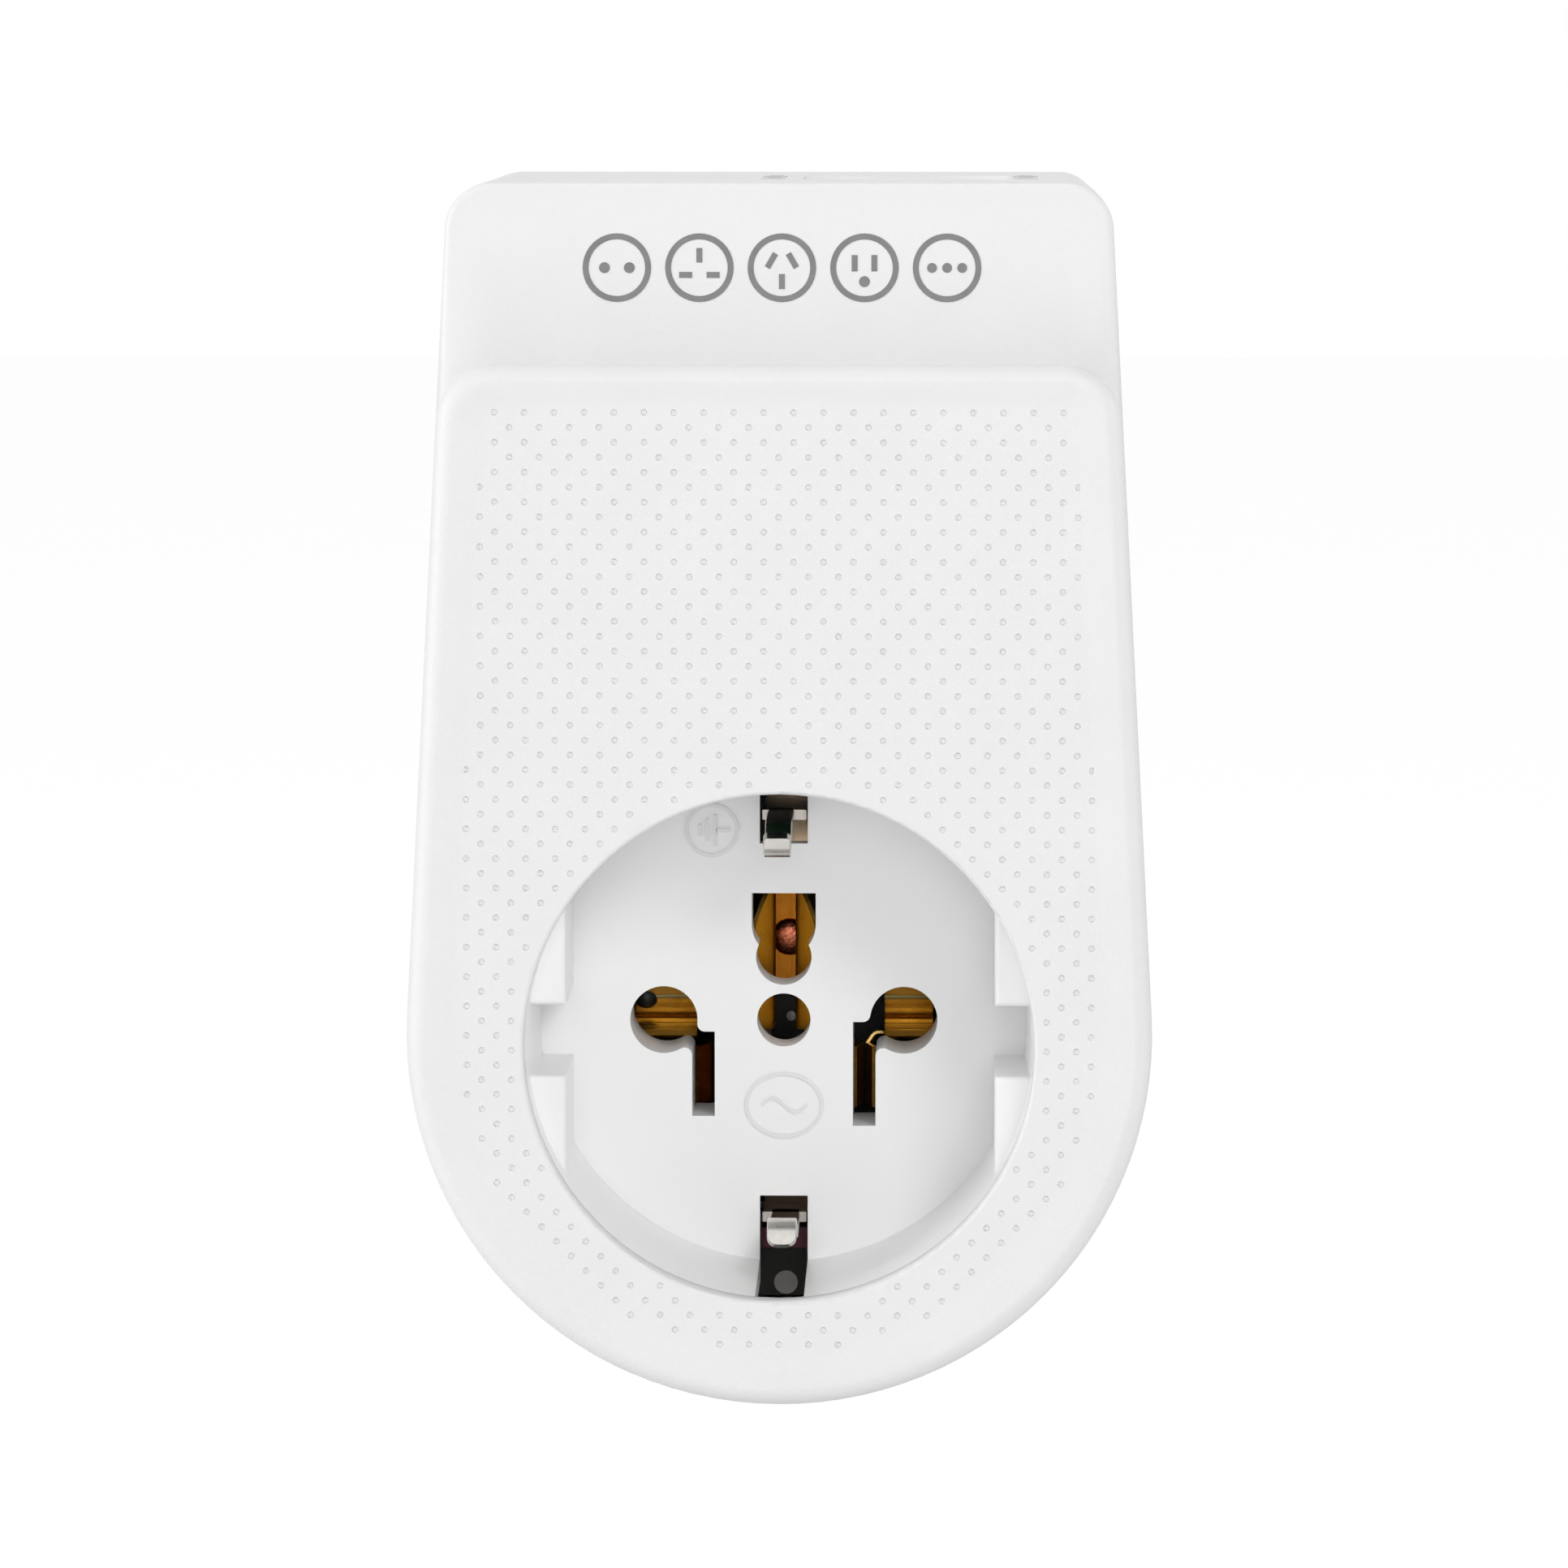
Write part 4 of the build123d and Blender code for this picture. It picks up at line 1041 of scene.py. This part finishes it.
def addPlate(bm, left, right, low, high, back, front):
    made = bmesh.ops.create_cube(bm, size=1.0)["verts"]
    size = Vector((right - left, front - back, high - low)) * mm
    middle = Vector((left + right, -(back + front), low + high)) / 2 * mm
    bmesh.ops.scale(bm, vec=size, verts=made)
    bmesh.ops.translate(bm, vec=middle + Vector((axisX, 0, axisZ)), verts=made)


def buildEarthSprings():
    bm = bmesh.new()
    look = earthSprings
    path = softened(look["path"], look["bend"])
    for side in (-1, 1):
        addStrip(
            bm, path, look["width"], springSheet, sidewaysSpot(side, 0.0, look["up"]),
            endRound=look["cornerRound"], cut=look["cornerCut"],
        )
    finishStrips("earthSprings", bm, "contactBrass", "earth_contact")
    bm = bmesh.new()
    addPlate(bm, *look["pad"])
    finishStrips("earthPad", bm, "warmBrass", None)


def buildRivetHead():
    bm = bmesh.new()
    loops = lathedRings(bm, rivetHead["rings"], rivetHead["sides"])
    bm.faces.new(loops[-1])
    x, z = rivetHead["place"]
    bmesh.ops.translate(bm, vec=place(x * mm, z * mm, 0.0), verts=bm.verts)
    finishStrips("rivetHead", bm, "rivetCopper", "earth_rivet")


def buildLineSprings():
    # A lower leaf and two blade leaves on one carrier, and an upper leaf in front of it
    look = lineSprings
    half = look["armHalf"]
    for line in look["pair"]:
        bm = bmesh.new()
        x, width = line["x"], line["width"]
        addStrip(bm, softened(look["lower"], look["lowerBend"]), width, springSheet, uprightSpot(-1, x))
        blade = softened(line["blade"], look["bladeBend"])
        for hand in (-1, 1):
            spot = sidewaysSpot(hand, line["bladeX"], look["bladeUp"])
            addStrip(bm, blade, look["bladeWidth"], springSheet, spot)
        left, right = sorted(math.copysign(reach, x) for reach in look["busX"])
        addPlate(bm, left, right, *look["busZ"], *look["levels"])
        addPlate(bm, x - half, x + half, *look["armZ"], *look["levels"])
        finishStrips(line["name"] + "Springs", bm, "agedBrass", line["node"])
        bm = bmesh.new()
        addStrip(bm, softened(look["upper"], look["upperBend"]), width, springSheet, uprightSpot(1, x))
        finishStrips(line["name"] + "Upper", bm, "oliveBrass", None)


def buildFold():
    # A folded corner in the neck of the neutral hole; the bend is real, and its brighter gold finish is
    # painted highlight
    def spot(point, width):
        return place(point.x * mm, point.y * mm, -(foldedCorner["level"] + width) * mm)

    bm = bmesh.new()
    path = softened(foldedCorner["path"], foldedCorner["bend"])
    addStrip(bm, path, foldedCorner["width"], foldedCorner["sheet"], spot)
    # The brighter gold against the contact's aged brass paints the corner's highlight
    finishStrips("neutralFold", bm, "padGold", None)


slotParts = {
    "insulator": (-1.85, 1.85, -18.8, -17.2, 18.0, 22.5),
    "plate": (-2.6, 2.6, -25.0, -18.0, 7.0, 8.4),
    "strap": (-3.0, 3.0, -16.4, -12.5, 3.85, 3.95),
    "peg": (-0.21, -23.86),
    "pegRadius": 0.97,
    "pegLevels": (8.3, 8.9),
    # Dark plates put where the slots show only shade: painted shade
    "paintedShadePlates": (
        (-2.6, -1.85, 12.0, 19.0, 4.4, 5.0), (1.85, 2.6, 12.0, 19.0, 4.4, 5.0),
        (-1.85, 1.85, 17.0, 19.0, 4.4, 5.0), (-1.5, 1.5, -6.5, -0.7, 3.85, 4.3),
    ),
    "blob": (-11.25, 0.75),
    "blobRadius": 1.05,
    "blobLevel": 17.0,
    "blobSegments": (28, 14),
    # A small nickel disc put in the centre hole for its glint: painted highlight
    "glint": (0.12, -2.5),
    "glintRadius": 0.4,
    "glintLevels": (4.3, 4.65),
}


def addDisc(name, middle, radius, levels):
    back, front = levels
    bm = bmesh.new()
    raisedPatch(bm, frontSpot(-back * mm), roundLoop(*middle, radius), lift=front - back)
    finishStrips(name, bm, "clipNickel", None)


def addBlock(name, box, finish):
    bm = bmesh.new()
    addPlate(bm, *box)
    finishStrips(name, bm, finish, None)


def buildSlotParts():
    # Parts seen deep in the slots: insulators, a pale peg, dark plates of painted shade with a black blob,
    # and a small nickel disc for a painted glint
    addBlock("slotInsulator", slotParts["insulator"], "maroonPlastic")
    addBlock("slotPlate", slotParts["plate"], "slatePlastic")
    addDisc("slotPeg", slotParts["peg"], slotParts["pegRadius"], slotParts["pegLevels"])
    # The strap's lifted colour is painted light
    addBlock("slotStrap", slotParts["strap"], "paintedLightStrapBrass")
    bm = bmesh.new()
    # Painted shade: dark plates around the top clip and behind the centre hole
    for box in slotParts["paintedShadePlates"]:
        addPlate(bm, *box)
    radius = slotParts["blobRadius"] * mm
    around, down = slotParts["blobSegments"]
    blob = bmesh.ops.create_uvsphere(bm, u_segments=around, v_segments=down, radius=radius)["verts"]
    x, z = slotParts["blob"]
    bmesh.ops.translate(bm, vec=place(x * mm, z * mm, -slotParts["blobLevel"] * mm), verts=blob)
    finishStrips("slotShades", bm, "carrierPlastic", None)
    # A nickel disc placed only to give a painted glint
    levels = slotParts["glintLevels"]
    addDisc("slotGlint", slotParts["glint"], slotParts["glintRadius"], levels)


buildClips()
buildEarthSprings()
buildRivetHead()
buildLineSprings()
buildFold()
buildSlotParts()
print("sheet metal and slot parts added")


# Copies of one small part on a set of points

def buildCopyTree(material):
    tree, start, inputs = newGeometryTree("partCopies", [("Part", "Object")])
    source = addNode(tree, "GeometryNodeObjectInfo")
    tree.links.new(start.outputs["Part"], source.inputs["Object"])
    copyToPoints(tree, start, source.outputs["Geometry"], material)
    return tree, inputs


def copiesOf(name, bm, points, finish):
    mesh = bpy.data.meshes.new(name + "Part")
    bm.to_mesh(mesh)
    bm.free()
    part = bpy.data.objects.new(name + "Part", mesh)
    bpy.context.scene.collection.objects.link(part)
    tree, inputs = buildCopyTree(finishes[finish])
    made = grownMesh(name, points, tree, inputs, {"Part": part})
    bpy.data.objects.remove(part)
    piece = meshPiece(name, made, finishes[finish])
    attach(piece, "root")
    return piece


screws = {
    "places": ((-20.3, 60.4), (20.3, 60.4), (-21.5, 13.99), (21.5, 13.99)),
    "sink": 0.1,
    "headRadius": 2.2,
    "headHeight": 1.3,
    "shankRadius": 1.15,
    "length": 16.0,
    "crossReach": 1.3,
    "crossHalf": 0.33,
    "crossDepth": 1.0,
    "crossNarrow": 0.42,  # the floor of the recess, as a share of its rim
    "sides": 36,
}


def crossOutline():
    reach, half = screws["crossReach"], screws["crossHalf"]
    arm = [(half, half), (half, reach), (-half, reach)]
    quarters = ((1, 0), (0, 1), (-1, 0), (0, -1))
    return [(x * c - z * s, x * s + z * c) for c, s in quarters for x, z in arm]


def fillHead(bm, circle, rim):
    # The flat of the head, between its edge and the rim of the recess
    outline = circle + rim
    coords = [Vector((v.co.x, v.co.z)) for v in outline]
    sides, count = len(circle), len(rim)
    lines = [(i, (i + 1) % sides) for i in range(sides)]
    lines += [(sides + i, sides + (i + 1) % count) for i in range(count)]
    for triangle in geometry.delaunay_2d_cdt(coords, lines, [], 0, meshEpsilon)[2]:
        if any(i < sides for i in triangle):
            bm.faces.new([outline[i] for i in triangle])


def screwShape():
    # Countersunk screw with a cross recess, its head turned to the rear
    bm = bmesh.new()
    headY = -screws["sink"]
    shankY = headY - screws["headHeight"]
    lowY = headY - screws["crossDepth"]
    shank = screws["shankRadius"]
    rings = [(screws["headRadius"], headY), (shank, shankY), (shank, headY - screws["length"])]
    loops = lathedRings(bm, rings, screws["sides"])
    bm.faces.new(loops[-1])
    cross = crossOutline()
    narrow = screws["crossNarrow"]
    rim = [bm.verts.new(Vector((x, headY, z)) * mm) for x, z in cross]
    low = [bm.verts.new(Vector((narrow * x, lowY, narrow * z)) * mm) for x, z in cross]
    bridge(bm, rim, low)
    bm.faces.new(low)
    fillHead(bm, loops[0], rim)
    bmesh.ops.recalc_face_normals(bm, faces=bm.faces)
    return bm


screwPoints = [place(x * mm, z * mm, 0) for x, z in screws["places"]]
crossScrews = copiesOf("crossScrews", screwShape(), screwPoints, "screwSteel")
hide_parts("housing_screws")


ports = {
    "padThickness": 0.06,
    "padInset": 0.6,  # from the end of the tongue
    "wideFrontY": -27.775,
    "widePads": (-3.5, -1.0, 1.0, 3.5),
    "widePad": (1.0, 6.2),
    "smallFrontY": -21.15,
    "smallPads": (-2.25, -1.75, -1.25, -0.75, -0.25, 0.25, 0.75, 1.25, 1.75, 2.25),
    "smallPad": (0.26, 3.2),
}


def boxShape(width, depth, height):
    bm = bmesh.new()
    bmesh.ops.create_cube(bm, size=1.0)
    bmesh.ops.scale(bm, vec=(width * mm, depth * mm, height * mm), verts=bm.verts)
    return bm


def addPortPads():
    thick = ports["padThickness"]
    for name, node, pads, size, y in (
        ("widePortPads", "usb_a_tongue", ports["widePads"], ports["widePad"], ports["wideFrontY"]),
        ("smallPortPads", "usb_c_tongue", ports["smallPads"], ports["smallPad"], ports["smallFrontY"]),
    ):
        low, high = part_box(node)
        middle = (low.x + high.x) / 2
        rise = high.z - (size[1] / 2 + ports["padInset"]) * mm
        points = [(middle + x * mm, y * mm, rise) for x in pads]
        copiesOf(name, boxShape(size[0], thick, size[1]), points, "padGold")


addPortPads()
print("screws and port contacts added")
